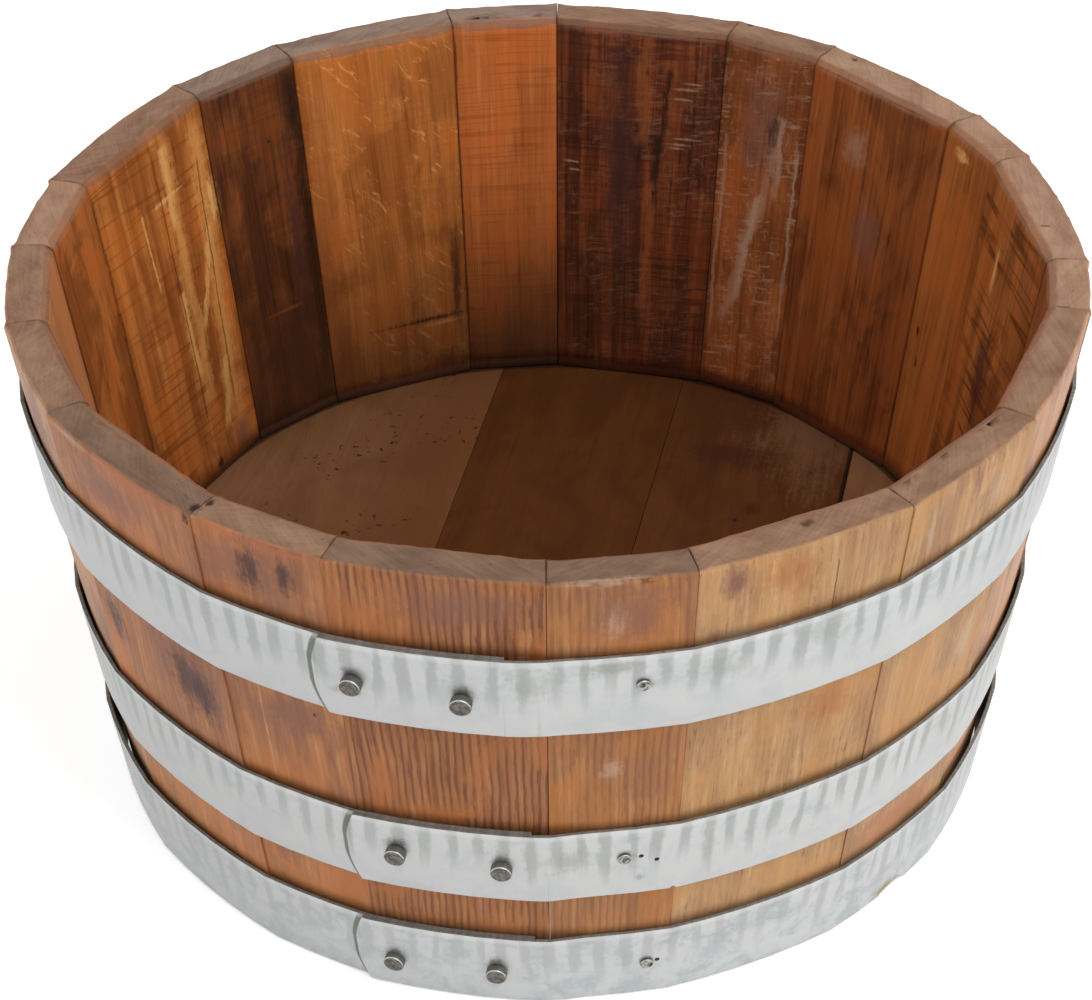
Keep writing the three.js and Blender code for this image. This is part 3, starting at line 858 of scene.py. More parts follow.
@dataclass(frozen=True)
class Oak:
    """Oiled oak of one stave.

    Attributes:
        seed: sets its grain apart from its neighbours'.
        rim: tone of its sawn end.
        outer: its outer face.
        inner: its inner face.
        worn: how weathered its faces are, from 0 to 1.
        low_shade_and_grime: how dark it is inside, low down, as painted shade and grime.
    """

    seed: float
    rim: SawnTone
    outer: Surface
    inner: Surface
    worn: float = 0.25
    low_shade_and_grime: float = 0.2

    def material(self, name: str, middle: float, half_angle: float) -> bpy.types.Material:
        """Makes the stave's material.

        Args:
            name: the material's name.
            middle: azimuth of the stave's middle, in degrees.
            half_angle: half the angle that it covers, in degrees.

        Returns:
            The material.
        """
        material, sketch = new_material(name)
        point, facing = sketch.surface()
        stave = sketch.use(STAVE_PLACE, Vector=sketch.rotated(point, -middle), Facing=facing,
                           **{"Half Angle": math.radians(half_angle)})
        place, inside, sawn = stave["Place"], stave["Inside"], stave["Sawn"]
        outside = 1.0 - inside
        height = sketch.split(place)[2]
        wander = sketch.either(inside, self.outer.wander * MM, self.inner.wander * MM)
        grain = sketch.use(LONG_GRAIN, Place=place, Seed=self.seed, Wander=wander,
                           Stretch=sketch.either(inside, 3.5, 1.0))
        ends = sketch.use(END_GRAIN, Place=place, Seed=self.seed)

        cloudy = sketch.fade(grain["Clouds"], 0.47, 0.60)
        faded = sketch.mix(inside, Kind.MAUVE.tint, self.inner.tone.dark)
        colour = sketch.mix(cloudy * self.worn, self.grained(sketch, grain, inside), faded)
        colour = self.tooled(sketch, colour, place, inside)
        faces = {Face.OUTER: outside, Face.INNER: inside}
        colour = self.marked(sketch, colour, place, faces, middle, half_angle)
        # painted light: the outer face paler low down, standing in for light bounced up from the
        # floor
        painted_floor_bounce = (1.0 - sketch.fade(height, 30 * MM, 120 * MM)) * outside
        colour = sketch.layered(
            colour,
            # painted shade with grime above the hoops outside, and along the floor and low down
            # inside
            (self.shade_and_grime(sketch, height, inside, grain["Clouds"]), DirtAndShade.GRIME.value),
            (painted_floor_bounce * 0.12, self.outer.tone.all[2]),
            (stave["Eased"] * sketch.either(inside, 0.4, 0.75),
             sketch.mix(inside, *reversed(self.rim.value))),
            (sawn, self.sawn_end(sketch, place, ends, middle, half_angle)),
            (stave["Seam"] * sketch.either(inside, 0.0, 0.35), DirtAndShade.SEAM.value),
        )
        relief = grain["Relief"] * sketch.either(inside, 0.6, 1.4) * (1.0 - sawn)
        relief = relief + ends["Relief"] * sawn
        roughness = grain["Fibre"] * 0.1 + 0.48 + sawn * 0.25
        finish_surface(sketch, colour, roughness, relief, 0.2 * MM, specular=0.22)
        return material

    def grained(self, sketch: Sketch, grain: Dict[str, Term], inside: Term) -> Term:
        """The wood's colour with its streaks, lines, fibre and pores.

        Args:
            sketch: the material.
            grain: outputs of the long grain.
            inside: 1 on the inner face.

        Returns:
            The colour.
        """
        dark, body, light, warm = (
            sketch.mix(inside, outer, inner)
            for outer, inner in zip(self.outer.tone.all, self.inner.tone.all))
        streaks, lines, ribs, pores = (
            sketch.either(inside, getattr(self.outer, name), getattr(self.inner, name))
            for name in ("streaks", "lines", "ribs", "pores"))
        calm = 1.0 - sketch.fade(grain["Clouds"], 0.36, 0.50)
        busy = sketch.fade(grain["Clouds"], 0.40, 0.62) * 0.7 + 0.4
        return sketch.layered(
            body,
            (grain["Pale"] * 0.5, light),
            (grain["Fibre"] * 0.25, light),
            (grain["Streaks"] * streaks, dark),
            (calm * 0.5, warm),
            (grain["Ribs"] * ribs, dark),
            (grain["Lines"] * busy * lines, dark),
            (grain["Pores"] * busy * pores, sketch.mix(0.5, dark, Kind.KNOT.tint)),
        )

    def sawn_end(self, sketch: Sketch, place: Term, ends: Dict[str, Term], middle: float,
                 half_angle: float) -> Term:
        """The colour of the sawn rim with its marks.

        Args:
            sketch: the material.
            place: the place on the stave.
            ends: outputs of the end grain.
            middle: azimuth of the stave's middle, in degrees.
            half_angle: half the angle that it covers, in degrees.

        Returns:
            The colour.
        """
        rim = sketch.mix(ends["Tone"], *self.rim.value)
        rim = sketch.mix(ends["Specks"] * 0.6, rim, Kind.KNOT.tint)
        across, depth, _ = sketch.split(place)
        flat = sketch.vector(across, 0.0, depth)
        return self.marked(sketch, rim, flat, {Face.RIM: 1.0}, middle, half_angle)

    def tooled(self, sketch: Sketch, colour: Term, place: Term, inside: Term) -> Term:
        """Adds the saw marks, ray flecks and scratches of the inner face.

        Args:
            sketch: the material.
            colour: what lies under them.
            place: the place on the stave.
            inside: 1 on the inner face.

        Returns:
            The colour with them.
        """
        face = self.inner
        for strength, effect, sizes, tint in (
                (face.saw, SAW_MARKS, {"Count": face.cuts}, face.tone.dark),
                (face.rays, RAY_FLECKS, {}, face.tone.all[2]),
                (face.scratches, SCRATCHES, {}, Kind.ASHEN.tint)):
            if strength:
                (mask,) = sketch.use(effect, Place=place, Seed=self.seed, **sizes).values()
                colour = sketch.mix(mask * inside * strength, colour, tint)
        return colour

    def marked(self, sketch: Sketch, colour: Term, place: Term, faces: Dict[Face, Input],
               middle: float, half_angle: float) -> Term:
        """Lays the marks of this stave over its colour.

        Args:
            sketch: the material.
            colour: what lies under the marks.
            place: the place on the stave.
            faces: the faces whose marks are wanted, each with where it is.
            middle: azimuth of the stave's middle, in degrees.
            half_angle: half the angle that it covers, in degrees.

        Returns:
            The colour with its marks.
        """
        for mark, shown in ((mark, faces[face]) for face in faces for mark in MARKS[face]):
            aside = turned(mark.azimuth - middle)
            reach = math.degrees(getattr(mark, "wide", 0.0) * MM / TUB.rim_radius)
            if abs(aside) <= half_angle + reach:
                tint, cover = mark.kind.value
                where = mark.mask(sketch, place, math.radians(aside) * TUB.rim_radius)
                colour = sketch.mix(where * shown * cover, colour, tint)
        return colour

    def shade_and_grime(self, sketch: Sketch, height: Term, inside: Term, clouds: Term) -> Term:
        """How far painted shade and grime cover the wood above the hoops outside, and along the
        floor and low down inside.

        Args:
            sketch: the material.
            height: the height of the place.
            inside: 1 on the inner face.
            clouds: the grain's clouds, which make the low painted shade ragged.

        Returns:
            The cover.
        """
        total: Input = 0.0
        # painted shade with grime in a band just above each hoop's top edge
        for top in TUB.hoop_tops:
            above = sketch.fade(height, top - 1 * MM, top + 0.3 * MM)
            below = 1.0 - sketch.fade(height, top + 0.8 * MM, top + 6 * MM)
            total = above * below + total
        # inside: painted shade in the corner at the wall's foot, and painted shade with grime
        # darkening the wall low down
        ragged = height - (clouds - 0.5) * 30 * MM
        low = 1.0 - sketch.fade(height, TUB.floor_top + 0.6 * MM, TUB.floor_top + 2 * MM)
        low_shade_and_grime = 1.0 - sketch.fade(ragged, TUB.floor_top - 5 * MM, TUB.floor_top + 130 * MM)
        return sketch.either(inside, total * 0.4, low * 0.5 + low_shade_and_grime * self.low_shade_and_grime)


def turned(degrees: float) -> float:
    """The same angle between -180 and 180 degrees."""
    return (degrees + 180) % 360 - 180


def new_material(name: str) -> Tuple[bpy.types.Material, Sketch]:
    """An empty material that is drawn with nodes."""
    material = bpy.data.materials.new(name)
    material.use_nodes = True
    material.node_tree.nodes.clear()
    return material, Sketch(material.node_tree)


def finish_surface(sketch: Sketch, colour: Input, roughness: Input, relief: Term, rise: float,
                   metallic: Input = 0.0, specular: float = 0.5) -> None:
    """Ends a material in a Principled BSDF.

    Args:
        sketch: the material.
        colour: the base colour.
        roughness: the roughness.
        relief: the height of the surface, about 0 to 1.
        rise: how much a relief of 1 stands up, in metres.
        metallic: 1 for bare metal.
        specular: strength of the shine on what isn't metal.
    """
    shader = sketch.node("ShaderNodeBsdfPrincipled")
    bump = sketch.node("ShaderNodeBump")
    sketch.fill(bump, {"Distance": rise, "Height": relief})
    sketch.fill(shader, {
        "Base Color": colour, "Roughness": roughness, "Metallic": metallic,
        "Specular IOR Level": specular, "Normal": Term(sketch, bump.outputs[0])})
    sketch.end(shader, "Material")


class BoardTone(Enum):
    """Tones of the floor, each as its dark lines, its body and its light fibre."""

    BARE = ((0.125, 0.050, 0.020), (0.200, 0.090, 0.037), (0.245, 0.12, 0.056))
    DARK = ((0.055, 0.016, 0.004), (0.098, 0.030, 0.006), (0.125, 0.041, 0.010))
    WORN = ((0.055, 0.016, 0.005), (0.104, 0.033, 0.008), (0.135, 0.046, 0.013))
    DUSTY = ((0.16, 0.065, 0.026), (0.29, 0.135, 0.058), (0.34, 0.17, 0.080))
    CLEAN = ((0.30, 0.160, 0.070), (0.53, 0.320, 0.150), (0.62, 0.41, 0.22))


# Marks on the floor: kind, place to the right and to the back, half width and half depth, in mm.
FLOOR_MARKS = (
    (Kind.DUST, 132, 120, 38, 55),
    (Kind.DUST, -160, 85, 45, 60),
    (Kind.DARK, 89, 105, 32, 13),
    (Kind.DARK, 96, 60, 5, 7),
    (Kind.KNOT, 88, 52, 1.6, 1.6),
    (Kind.KNOT, -176, 96, 4, 3),
    (Kind.KNOT, -95, 48, 3, 2),
)


@dataclass(frozen=True)
class FloorOak:
    """Unfinished oak of one floor board.

    Attributes:
        tone: its tone.
        seed: sets its grain apart from its neighbours'.
        wander: how far the growth lines bend, in millimetres.
        turn: the way its grain runs, in degrees to the right of straight back.
        shade: where its darker right-hand side ends, if it has one.
        specks: strength of the worm holes.
        gap: how far to the right the dark gap of the right seam is.
        shadow_band: radii between which the floor darkens towards its edge.
        corner_shade_and_dirt_band: radii between which the dirt and painted shade in the corner
            start.
    """

    tone: BoardTone
    seed: float
    wander: float
    turn: float
    shade: float = 1.0
    specks: float = 0.0
    gap: float = 121 * MM
    shadow_band: Tuple[float, float] = (165 * MM, 186 * MM)
    corner_shade_and_dirt_band: Tuple[float, float] = (182.8 * MM, 184.8 * MM)

    def material(self, name: str) -> bpy.types.Material:
        """Makes the board's material."""
        material, sketch = new_material(name)
        x, y, z = sketch.split(sketch.rotated(sketch.surface()[0], self.turn))
        place = sketch.vector(x, z, y)
        grain = sketch.use(
            LONG_GRAIN, Place=place, Seed=self.seed, Wander=self.wander * MM, Stretch=1.0)
        dark, body, light = self.tone.value
        holes = sketch.noise(x * 300, y * 300, self.seed, 2, 0.5)
        drifts = sketch.noise(x * 22, y * 22, self.seed, 2, 0.5)
        specks = sketch.fade(holes, 0.635, 0.67) * sketch.fade(drifts, 0.49, 0.57)
        colour = self.marked(sketch, sketch.layered(
            body,
            (grain["Fibre"] * 0.3, light),
            (sketch.fade(grain["Clouds"], 0.4, 0.65) * 0.5, dark),
            (grain["Streaks"] * 0.25, dark),
            (grain["Lines"] * 0.22, dark),
            (sketch.fade(x, self.shade - 75 * MM, self.shade) * 0.75, BoardTone.WORN.value[2]),
            (specks * self.specks, Kind.KNOT.tint),
        ), place)
        gap = 1.0 - sketch.fade(abs(x - self.gap), 0.6 * MM, 1.8 * MM)
        radius = sketch.length(x, y)
        # painted shadow towards the floor's edge, and painted shade with dirt in the corner by the
        # wall
        edge = (sketch.fade(radius, *self.shadow_band) * 0.1
                + sketch.fade(radius, *self.corner_shade_and_dirt_band) * 0.7)
        colour = sketch.mix(sketch.math("MAXIMUM", edge, gap * 0.85), colour, DirtAndShade.FLOOR.value)
        finish_surface(sketch, colour, grain["Fibre"] * 0.1 + 0.7, grain["Relief"], 0.12 * MM,
                       specular=0.12)
        return material

    def marked(self, sketch: Sketch, colour: Term, place: Term) -> Term:
        """Lays the floor's marks over a colour.

        Args:
            sketch: the material.
            colour: what lies under the marks.
            place: the place along the grain.

        Returns:
            The colour with its marks.
        """
        angle = math.radians(self.turn)
        for kind, right, back, wide, deep in FLOOR_MARKS:
            tint, cover = kind.value
            spot = sketch.use(
                PATCH, Place=place, Wide=wide * MM, Tall=deep * MM,
                Across=(right * math.cos(angle) - back * math.sin(angle)) * MM,
                Height=(right * math.sin(angle) + back * math.cos(angle)) * MM)
            colour = sketch.mix(spot["Mask"] * cover, colour, tint)
        return colour


Smudge = Tuple[float, float, float, float, float, Colour]


class ZincTone(Enum):
    """Tones of the hoops: of the zinc, of the dirt on it, of its painted shade and highlight, and
    of the painted shade on the cut edges.
    """

    BRIGHT = (0.565, 0.575, 0.57)
    BARS = (0.33, 0.34, 0.33)
    CLOUDS = (0.40, 0.435, 0.45)
    STAINS = (0.33, 0.335, 0.30)
    # painted shade on the hoops' left and far right sides
    DULL = (0.42, 0.43, 0.425)
    # painted highlight just below the top edge
    TOP = (0.70, 0.71, 0.70)
    GREENISH = (0.30, 0.31, 0.275)
    # dirt and painted shade round the rivets and nails
    DIRT = (0.12, 0.12, 0.105)
    # dirt and painted shade in the step at the end of the lap
    CORNER = (0.12, 0.13, 0.105)
    # painted shade on the cut edges, in a darker and a lighter tone
    CUT_DARK = (0.135, 0.125, 0.105)
    CUT_LIGHT = (0.22, 0.205, 0.18)


@dataclass(frozen=True)
class Zinc:
    """Galvanised steel of one hoop.

    Attributes:
        foot: height of the hoop's lower edge.
        top: height of its upper edge.
        lap: azimuth where its upper layer ends, in degrees.
        seed: sets its pattern apart.
        mottle: how cloudy it is, from 0 to 1.
        smudges: azimuth, height, half width and half height of each smudge, its cover and its tint.
        pitch: spacing of the grey bars across the hoop.
    """

    foot: float
    top: float
    lap: float
    seed: float
    mottle: float
    smudges: Sequence[Smudge]
    pitch: float = 11.5 * MM

    def material(self, name: str) -> bpy.types.Material:
        """Makes the hoop's material."""
        material, sketch = new_material(name)
        (x, y, z), facing = map(sketch.split, sketch.surface())
        radius = sketch.length(x, y)
        along = sketch.azimuth(x, y) * TUB.rim_radius
        up = (z - self.foot) / (self.top - self.foot)
        outwards = (facing[0] * x + facing[1] * y) / radius
        cut = 1.0 - sketch.fade(outwards, 0.35, 0.75)

        sway = sketch.noise(along * 12, self.seed, z * 9, 2, 0.5)
        swayed = along + (sway - 0.5) * 14 * MM
        uneven = sketch.noise(swayed * 55, self.seed * 2.0, z * 14, 4, 0.7)
        bars = sketch.math("SINE", swayed * (2 * math.pi / self.pitch) + uneven * 6) * 0.5 + 0.5
        reach = sketch.noise(along * 80, self.seed + 4.0, z * 8, 3, 0.65)
        clouds = sketch.noise(along * 60, self.seed, z * 80, 5, 0.62, 0.6)
        grit = sketch.noise(along * 380, self.seed, z * 300, 4, 0.7)
        fading = sketch.fade(up + (reach - 0.5) * 1.2, 0.22, 0.70)
        grey = sketch.fade(bars + (uneven - 0.5) * 1.1 + (grit - 0.5) * 0.8, 0.34, 0.9) * fading
        cloudy = sketch.fade(clouds + (grit - 0.5) * 0.3, 0.42, 0.66) * self.mottle
        stained = sketch.fade(clouds, 0.55, 0.72) * sketch.fade(up, 0.3, 0.9)
        # painted shade: the hoop darker towards its left and far right, where less light falls
        painted_side_shade = 0.48 - sketch.fade(along, -0.30, 0.16) * 0.42 + sketch.fade(along, 0.17, 0.25) * 0.3
        colour = sketch.layered(
            ZincTone.BRIGHT.value,
            (grey * (1.0 - self.mottle * 0.5) * 0.85, ZincTone.BARS.value),
            (cloudy, ZincTone.CLOUDS.value),
            (stained * 0.45, ZincTone.STAINS.value),
            (painted_side_shade, ZincTone.DULL.value),
            # dirt and painted shade along the lap's end
            (self.lap_shade_and_dirt(sketch, along, up) * 0.85, ZincTone.CORNER.value),
        )
        # stains, and dirt with painted shade round the rivets and nails
        for azimuth, height, wide, tall, cover, tint in self.smudges:
            smudge = sketch.use(
                PATCH, Place=sketch.vector(along, radius, z), Wide=wide * MM, Tall=tall * MM,
                Across=math.radians(azimuth) * TUB.rim_radius, Height=height * MM)
            colour = sketch.mix(smudge["Mask"] * cover, colour, tint)
        colour = sketch.layered(
            colour,
            # painted highlight: a pale line just below the top edge
            (sketch.fade(up, 0.90, 0.965) * 0.35, ZincTone.TOP.value),
            # painted shade: the cut edges, which face away from the light, painted dark
            (cut * 0.92, sketch.mix(sketch.fade(grit, 0.4, 0.6), ZincTone.CUT_DARK.value,
                                    ZincTone.CUT_LIGHT.value)),
        )
        roughness = clouds * 0.15 + 0.42 + cut * 0.25
        finish_surface(sketch, colour, roughness, bars * 0.3 + clouds * 0.5, 0.08 * MM,
                       0.65 - cut * 0.6)
        return material

    def lap_shade_and_dirt(self, sketch: Sketch, along: Term, up: Term) -> Term:
        """Where dirt and painted shade lie in the corner along the rounded end of the upper layer.

        Args:
            sketch: the material.
            along: the distance round the hoop.
            up: the share of the hoop's width that lies below the place.

        Returns:
            How far the dirt and painted shade cover.
        """
        share = up * 2.0 - 1.0
        bow = sketch.math("MAXIMUM", share * share - 0.09, 0.0) * (5.1 * MM)
        gap = bow + math.radians(self.lap) * TUB.rim_radius - along
        return (sketch.fade(gap, -1.0 * MM, -0.6 * MM)
                * (1.0 - sketch.fade(gap, 2.0 * MM, 2.8 * MM)))


@dataclass(frozen=True)
class ForgedSteel:
    """Steel of rivets and nails, dark on the face and bright on the side, with a painted highlight
    on the head's upper rim.

    Attributes:
        seed: sets its stains apart.
        face: tones of the face, from dark to light.
        side: tone of the side.
        worn: tone of the head's bright rim, a painted highlight that is strongest on top.
    """

    seed: float
    face: Tuple[Colour, Colour]
    side: Colour = (0.17, 0.165, 0.15)
    worn: Colour = (0.66, 0.66, 0.63)

    def material(self, name: str) -> bpy.types.Material:
        """Makes the steel's material."""
        material, sketch = new_material(name)
        (x, y, z), facing = map(sketch.split, sketch.surface())
        radius = sketch.length(x, y)
        outwards = (facing[0] * x + facing[1] * y) / radius
        rim = sketch.fade(outwards, 0.25, 0.45) * (1.0 - sketch.fade(outwards, 0.8, 0.95))
        side = 1.0 - sketch.fade(outwards, 0.2, 0.4)
        rust = sketch.noise(x * 500 + self.seed, y * 500, z * 500, 4, 0.65)
        dents = sketch.noise(x * 700, y * 700 + self.seed, z * 700, 2, 0.5)
        # painted highlight: the rim brightest where it faces up, towards the light
        lit = sketch.fade(facing[2], -0.1, 0.4) * 0.75 + 0.12
        colour = sketch.layered(
            self.face[0],
            (sketch.fade(rust, 0.38, 0.62), self.face[1]),
            (side * 0.7, self.side),
            # the head's rim painted bright as a highlight, strongest on top
            (rim * lit, self.worn),
        )
        finish_surface(sketch, colour, rust * 0.2 + 0.4 - rim * 0.1, dents, 0.12 * MM, 0.7)
        return material


# ---- The wall of staves ------------------------------------------------------------------------

# Finish of each stave, anticlockwise from the front seam.
STAVE_FINISHES = (
    Oak(1.0, SawnTone.DULL, Surface(Tone.HONEY, 0.3, 0.3, 0.5, 0.3, 8), Surface(Tone.CHESTNUT),
        0.3),
    Oak(2.0, SawnTone.MIDDLE, Surface(Tone.TAN, 0.2, 0.3, 0.15, 0.6), Surface(Tone.GOLDEN), 0.2),
    Oak(3.0, SawnTone.MIDDLE, Surface(Tone.TAN, 0.2, 0.35, 0.15, 0.5), Surface(Tone.CHESTNUT),
        0.35),
    Oak(4.0, SawnTone.MIDDLE, Surface(Tone.ROSY, 0.3, 0.3, 0.1), Surface(Tone.ORANGE)),
    Oak(5.0, SawnTone.PALE, Surface(Tone.ROSY, 0.3, 0.3), Surface(Tone.CHESTNUT)),
    Oak(6.0, SawnTone.PALE, Surface(Tone.RUSSET),
        Surface(Tone.AMBER, 0.4, 0.6, 0.1, 0.4, 20, saw=1.0, cuts=110, scratches=0.15), 0.6, 0.1),
    Oak(7.0, SawnTone.PALE, Surface(Tone.HONEY), Surface(Tone.AMBER, 0.35, 0.3, 0.1, 0.4, 10),
        0.15, 0.1),
    Oak(8.0, SawnTone.PALE, Surface(Tone.BROWN), Surface(Tone.CHESTNUT, 0.65, 0.4, 0.15, 0.5, 8),
        0.4),
    Oak(9.0, SawnTone.MIDDLE, Surface(Tone.BROWN),
        Surface(Tone.CHESTNUT, 0.4, 0.35, 0.2, 0.4, 10, saw=0.2, scratches=0.9), 0.4, 0.1),
    Oak(10.0, SawnTone.MIDDLE, Surface(Tone.BROWN),
        Surface(Tone.MAROON, 0.7, 0.75, 0.1, 0.5, 8, saw=0.6, cuts=220, scratches=0.25), 0.4, 0.4),
    Oak(11.0, SawnTone.GREY, Surface(Tone.HONEY),
        Surface(Tone.ORANGE, 0.2, 0.25, 0.1, 0.3, 4, saw=0.35, cuts=300), 0.15, 0.95),
    Oak(12.0, SawnTone.GREY, Surface(Tone.HONEY),
        Surface(Tone.GOLDEN, 0.25, 0.45, 0.05, 0.3, 20, saw=0.15, cuts=250, rays=0.9), 0.35, 0.8),
    Oak(13.0, SawnTone.GREY, Surface(Tone.BROWN),
        Surface(Tone.UMBER, 0.45, 0.5, 0.1, 0.5, 8, saw=0.2), 0.5, 0.8),
    Oak(14.0, SawnTone.MIDDLE, Surface(Tone.TAN),
        Surface(Tone.GOLDEN, 0.35, 0.6, 0.05, 0.3, 8, saw=0.6), 0.4, 0.35),
    Oak(15.0, SawnTone.PALE, Surface(Tone.RUSSET), Surface(Tone.AMBER, 0.3, 0.35, 0.1, 0.3, 25),
        0.6),
    Oak(16.0, SawnTone.MIDDLE, Surface(Tone.ROSY), Surface(Tone.RUSSET, 0.1, 0.1, 0.05), 0.1),
    Oak(17.0, SawnTone.MIDDLE, Surface(Tone.ROSY, 0.25, 0.3, 0.1, 0.3), Surface(Tone.CHESTNUT),
        0.3),
    Oak(18.0, SawnTone.DULL, Surface(Tone.RUSSET, 0.3, 0.35, 0.1, 0.3, 30), Surface(Tone.GOLDEN),
        0.4),
    Oak(19.0, SawnTone.MIDDLE, Surface(Tone.RUSSET, 0.3, 0.4, 0.1, 0.3, 25), Surface(Tone.CHESTNUT),
        0.4),
    Oak(20.0, SawnTone.DULL, Surface(Tone.BROWN, 0.35, 0.3, 0.75, 0.45, 12), Surface(Tone.GOLDEN),
        0.2),
)


@dataclass
class Wall:
    """The ring of staves.

    Attributes:
        finishes: the finish of each stave.
        rim_ease: rounding of the rim's edges.
        joint_ease: rounding of the long edges at the joints.
        rim_band: how far down from the top the rim's edges and chips reach.
        dents: depth and size of the dents all over.
        chips: depth and size of the chips along the rim.
        joint_clear: angle beside a joint that isn't worn, in degrees.
        strip: angle between upright cuts, about, in degrees.
        level, levels: height between level cuts in millimetres, and their count.
        rim_levels: further level cuts near the rim, by how far down they are in millimetres.
        layers: cuts along the outer face, by their depth in millimetres.
    """

    finishes: Sequence[Oak] = STAVE_FINISHES
    rim_ease: float = 0.9 * MM
    joint_ease: float = 0.05 * MM
    rim_band: float = 4 * MM
    dents: Tuple[float, float] = (0.25 * MM, 30 * MM)
    chips: Tuple[float, float] = (0.9 * MM, 3.5 * MM)
    joint_clear: float = 0.4
    strip: float = 1.2
    level: int = 15
    levels: int = 15
    rim_levels: Sequence[float] = (2.8, 4.0, 6.0, 10.0)
    layers: Sequence[float] = (4.5, 9, 13.5)

    def build(self) -> None:
        """Models and dresses every stave."""
        for number, finish in enumerate(self.finishes, start=1):
            self.stave(number, finish)

    def stave(self, number: int, finish: Oak) -> None:
        """Models one stave over its node and dresses it.

        Args:
            number: which stave it is, from 1.
            finish: its finish.
        """
        node = f"stave_{number:02d}"
        piece = solid_of(node, f"oak_{node}")
        middle, half_angle = self.span(piece)
        ease(piece, self.is_rim_edge, self.rim_ease, 3)
        ease(piece, self.is_joint_edge, self.joint_ease, 2)
        slice_up(piece, self.cuts(middle, half_angle))
        clear = half_angle - self.joint_clear
        clear = half_angle - 0.4

        def off_joint(point: Vector) -> bool:
            """Whether a point is clear of the joints with the neighbours."""
            return abs(turned(math.degrees(azimuth_of(point)) - middle)) < clear

        def on_rim(point: Vector) -> bool:
            """Whether such a point is in the rim's band too."""
            return point.z > TUB.height - self.rim_band and off_joint(point)

        weather(piece, *self.dents, off_joint)
        weather(piece, *self.chips, on_rim)
        smooth(piece, SMOOTH_WOOD)
        hand_over(piece, node, finish.material(f"oak {number:02d}", middle, half_angle))

    def cuts(self, middle: float, half_angle: float) -> List[Tuple[Vector, Vector]]:
        """Planes that cut a stave finely enough to be worn.

        Args:
            middle: azimuth of the stave's middle, in degrees.
            half_angle: half the angle that it covers, in degrees.

        Returns:
            Upright planes, level ones, and ones along the outer face.
        """
        count = max(4, round(2 * half_angle / self.strip))
        planes = []
        for step in range(1, count):
            angle = math.radians(middle + half_angle * (2 * step / count - 1))
            planes.append((Vector(), Vector((math.cos(angle), math.sin(angle), 0))))
        heights = [number * self.level * MM for number in range(1, self.levels + 1)]
        heights += [TUB.height - drop * MM for drop in self.rim_levels]
        planes += [(Vector((0, 0, height)), Vector((0, 0, 1))) for height in heights]
        angle = math.radians(middle)
        outwards = Vector((math.sin(angle), -math.cos(angle), 0))
        flat = math.cos(math.radians(half_angle))
        planes += [(outwards * ((TUB.rim_radius - depth * MM) * flat), outwards)
                   for depth in self.layers]
        return planes

    def span(self, piece: Piece) -> Tuple[float, float]:
        """How a stave lies in the ring.

        Args:
            piece: the stave.

        Returns:
            Azimuth of its middle, and half the angle that it covers, in degrees.
        """
        points = [vertex.co for vertex in piece.data.vertices]
        rough = azimuth_of(sum(points, Vector()) / len(points))
        offsets = [turned(math.degrees(azimuth_of(point) - rough)) for point in points]
        middle = math.degrees(rough) + (max(offsets) + min(offsets)) / 2
        return middle, (max(offsets) - min(offsets)) / 2

    def is_rim_edge(self, edge: object) -> bool:
        """Whether an edge runs along the rim, outside or inside."""
        low = min(vertex.co.z for vertex in edge.verts)
        return low > TUB.height - self.rim_band and is_sharp(edge, 20, 5 * MM)

    def is_joint_edge(self, edge: object) -> bool:
        """Whether an edge runs down a joint with a neighbour."""
        first, second = (vertex.co for vertex in edge.verts)
        return abs(first.z - second.z) > LONG_EDGE and is_sharp(edge, SQUARE, LONG_EDGE)


# ---- The floor ---------------------------------------------------------------------------------


@dataclass
class Floor:
    """The boards of the floor and the dowels between them.

    Attributes:
        turn: the way the boards run, in degrees to the right of straight back.
        seam_ease: rounding of the edges at the seams.
        tones: tone of each board, from the left.
        wanders: how far each board's growth lines bend, in millimetres.
        specks: strength of the worm holes in the first board.
        dowel_wander: how far the dowels' growth lines bend.
    """

    turn: float = 12.5
    seam_ease: float = 0.5 * MM
    tones: Sequence[BoardTone] = (BoardTone.BARE, BoardTone.DARK, BoardTone.WORN, BoardTone.DUSTY)
    wanders: Sequence[float] = (60, 20, 30, 20)
    specks: float = 0.85
    dowel_wander: float = 10

    def build(self) -> None:
        """Models the boards over their nodes, and gives the hidden dowels their wood."""
        for number, (tone, wander) in enumerate(zip(self.tones, self.wanders), start=1):
            node = f"floor_board_{number}"
            piece = solid_of(node, f"oak_{node}")
            ease(piece, self.is_seam_edge, self.seam_ease, 2)
            smooth(piece, SMOOTH_WOOD)
            finish = FloorOak(tone, 30.0 + number, wander, self.turn)
            if number == 1:
                finish = replace(finish, shade=self.right_edge(piece), specks=self.specks)
            hand_over(piece, node, finish.material(f"oak floor {number}"))
        wood = FloorOak(BoardTone.CLEAN, 40.0, self.dowel_wander, self.turn + 90)
        finish = wood.material("dowel wood")
        for name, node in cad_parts.items():
            if name.startswith("floor_dowel"):
                node.material_slots[0].material = finish

    def right_edge(self, board: Piece) -> float:
        """How far to the right of the middle a board reaches, square to its seams."""
        turn = Matrix.Rotation(math.radians(self.turn), 3, "Z")
        return max((turn @ vertex.co).x for vertex in board.data.vertices)

    def is_seam_edge(self, edge: object) -> bool:
        """Whether an edge is the upper edge of a seam between two boards."""
        high = min(vertex.co.z for vertex in edge.verts) > TUB.floor_top - MM
        return high and is_sharp(edge, SQUARE, LONG_EDGE)


# ---- Hoops, rivets and nails -------------------------------------------------------------------


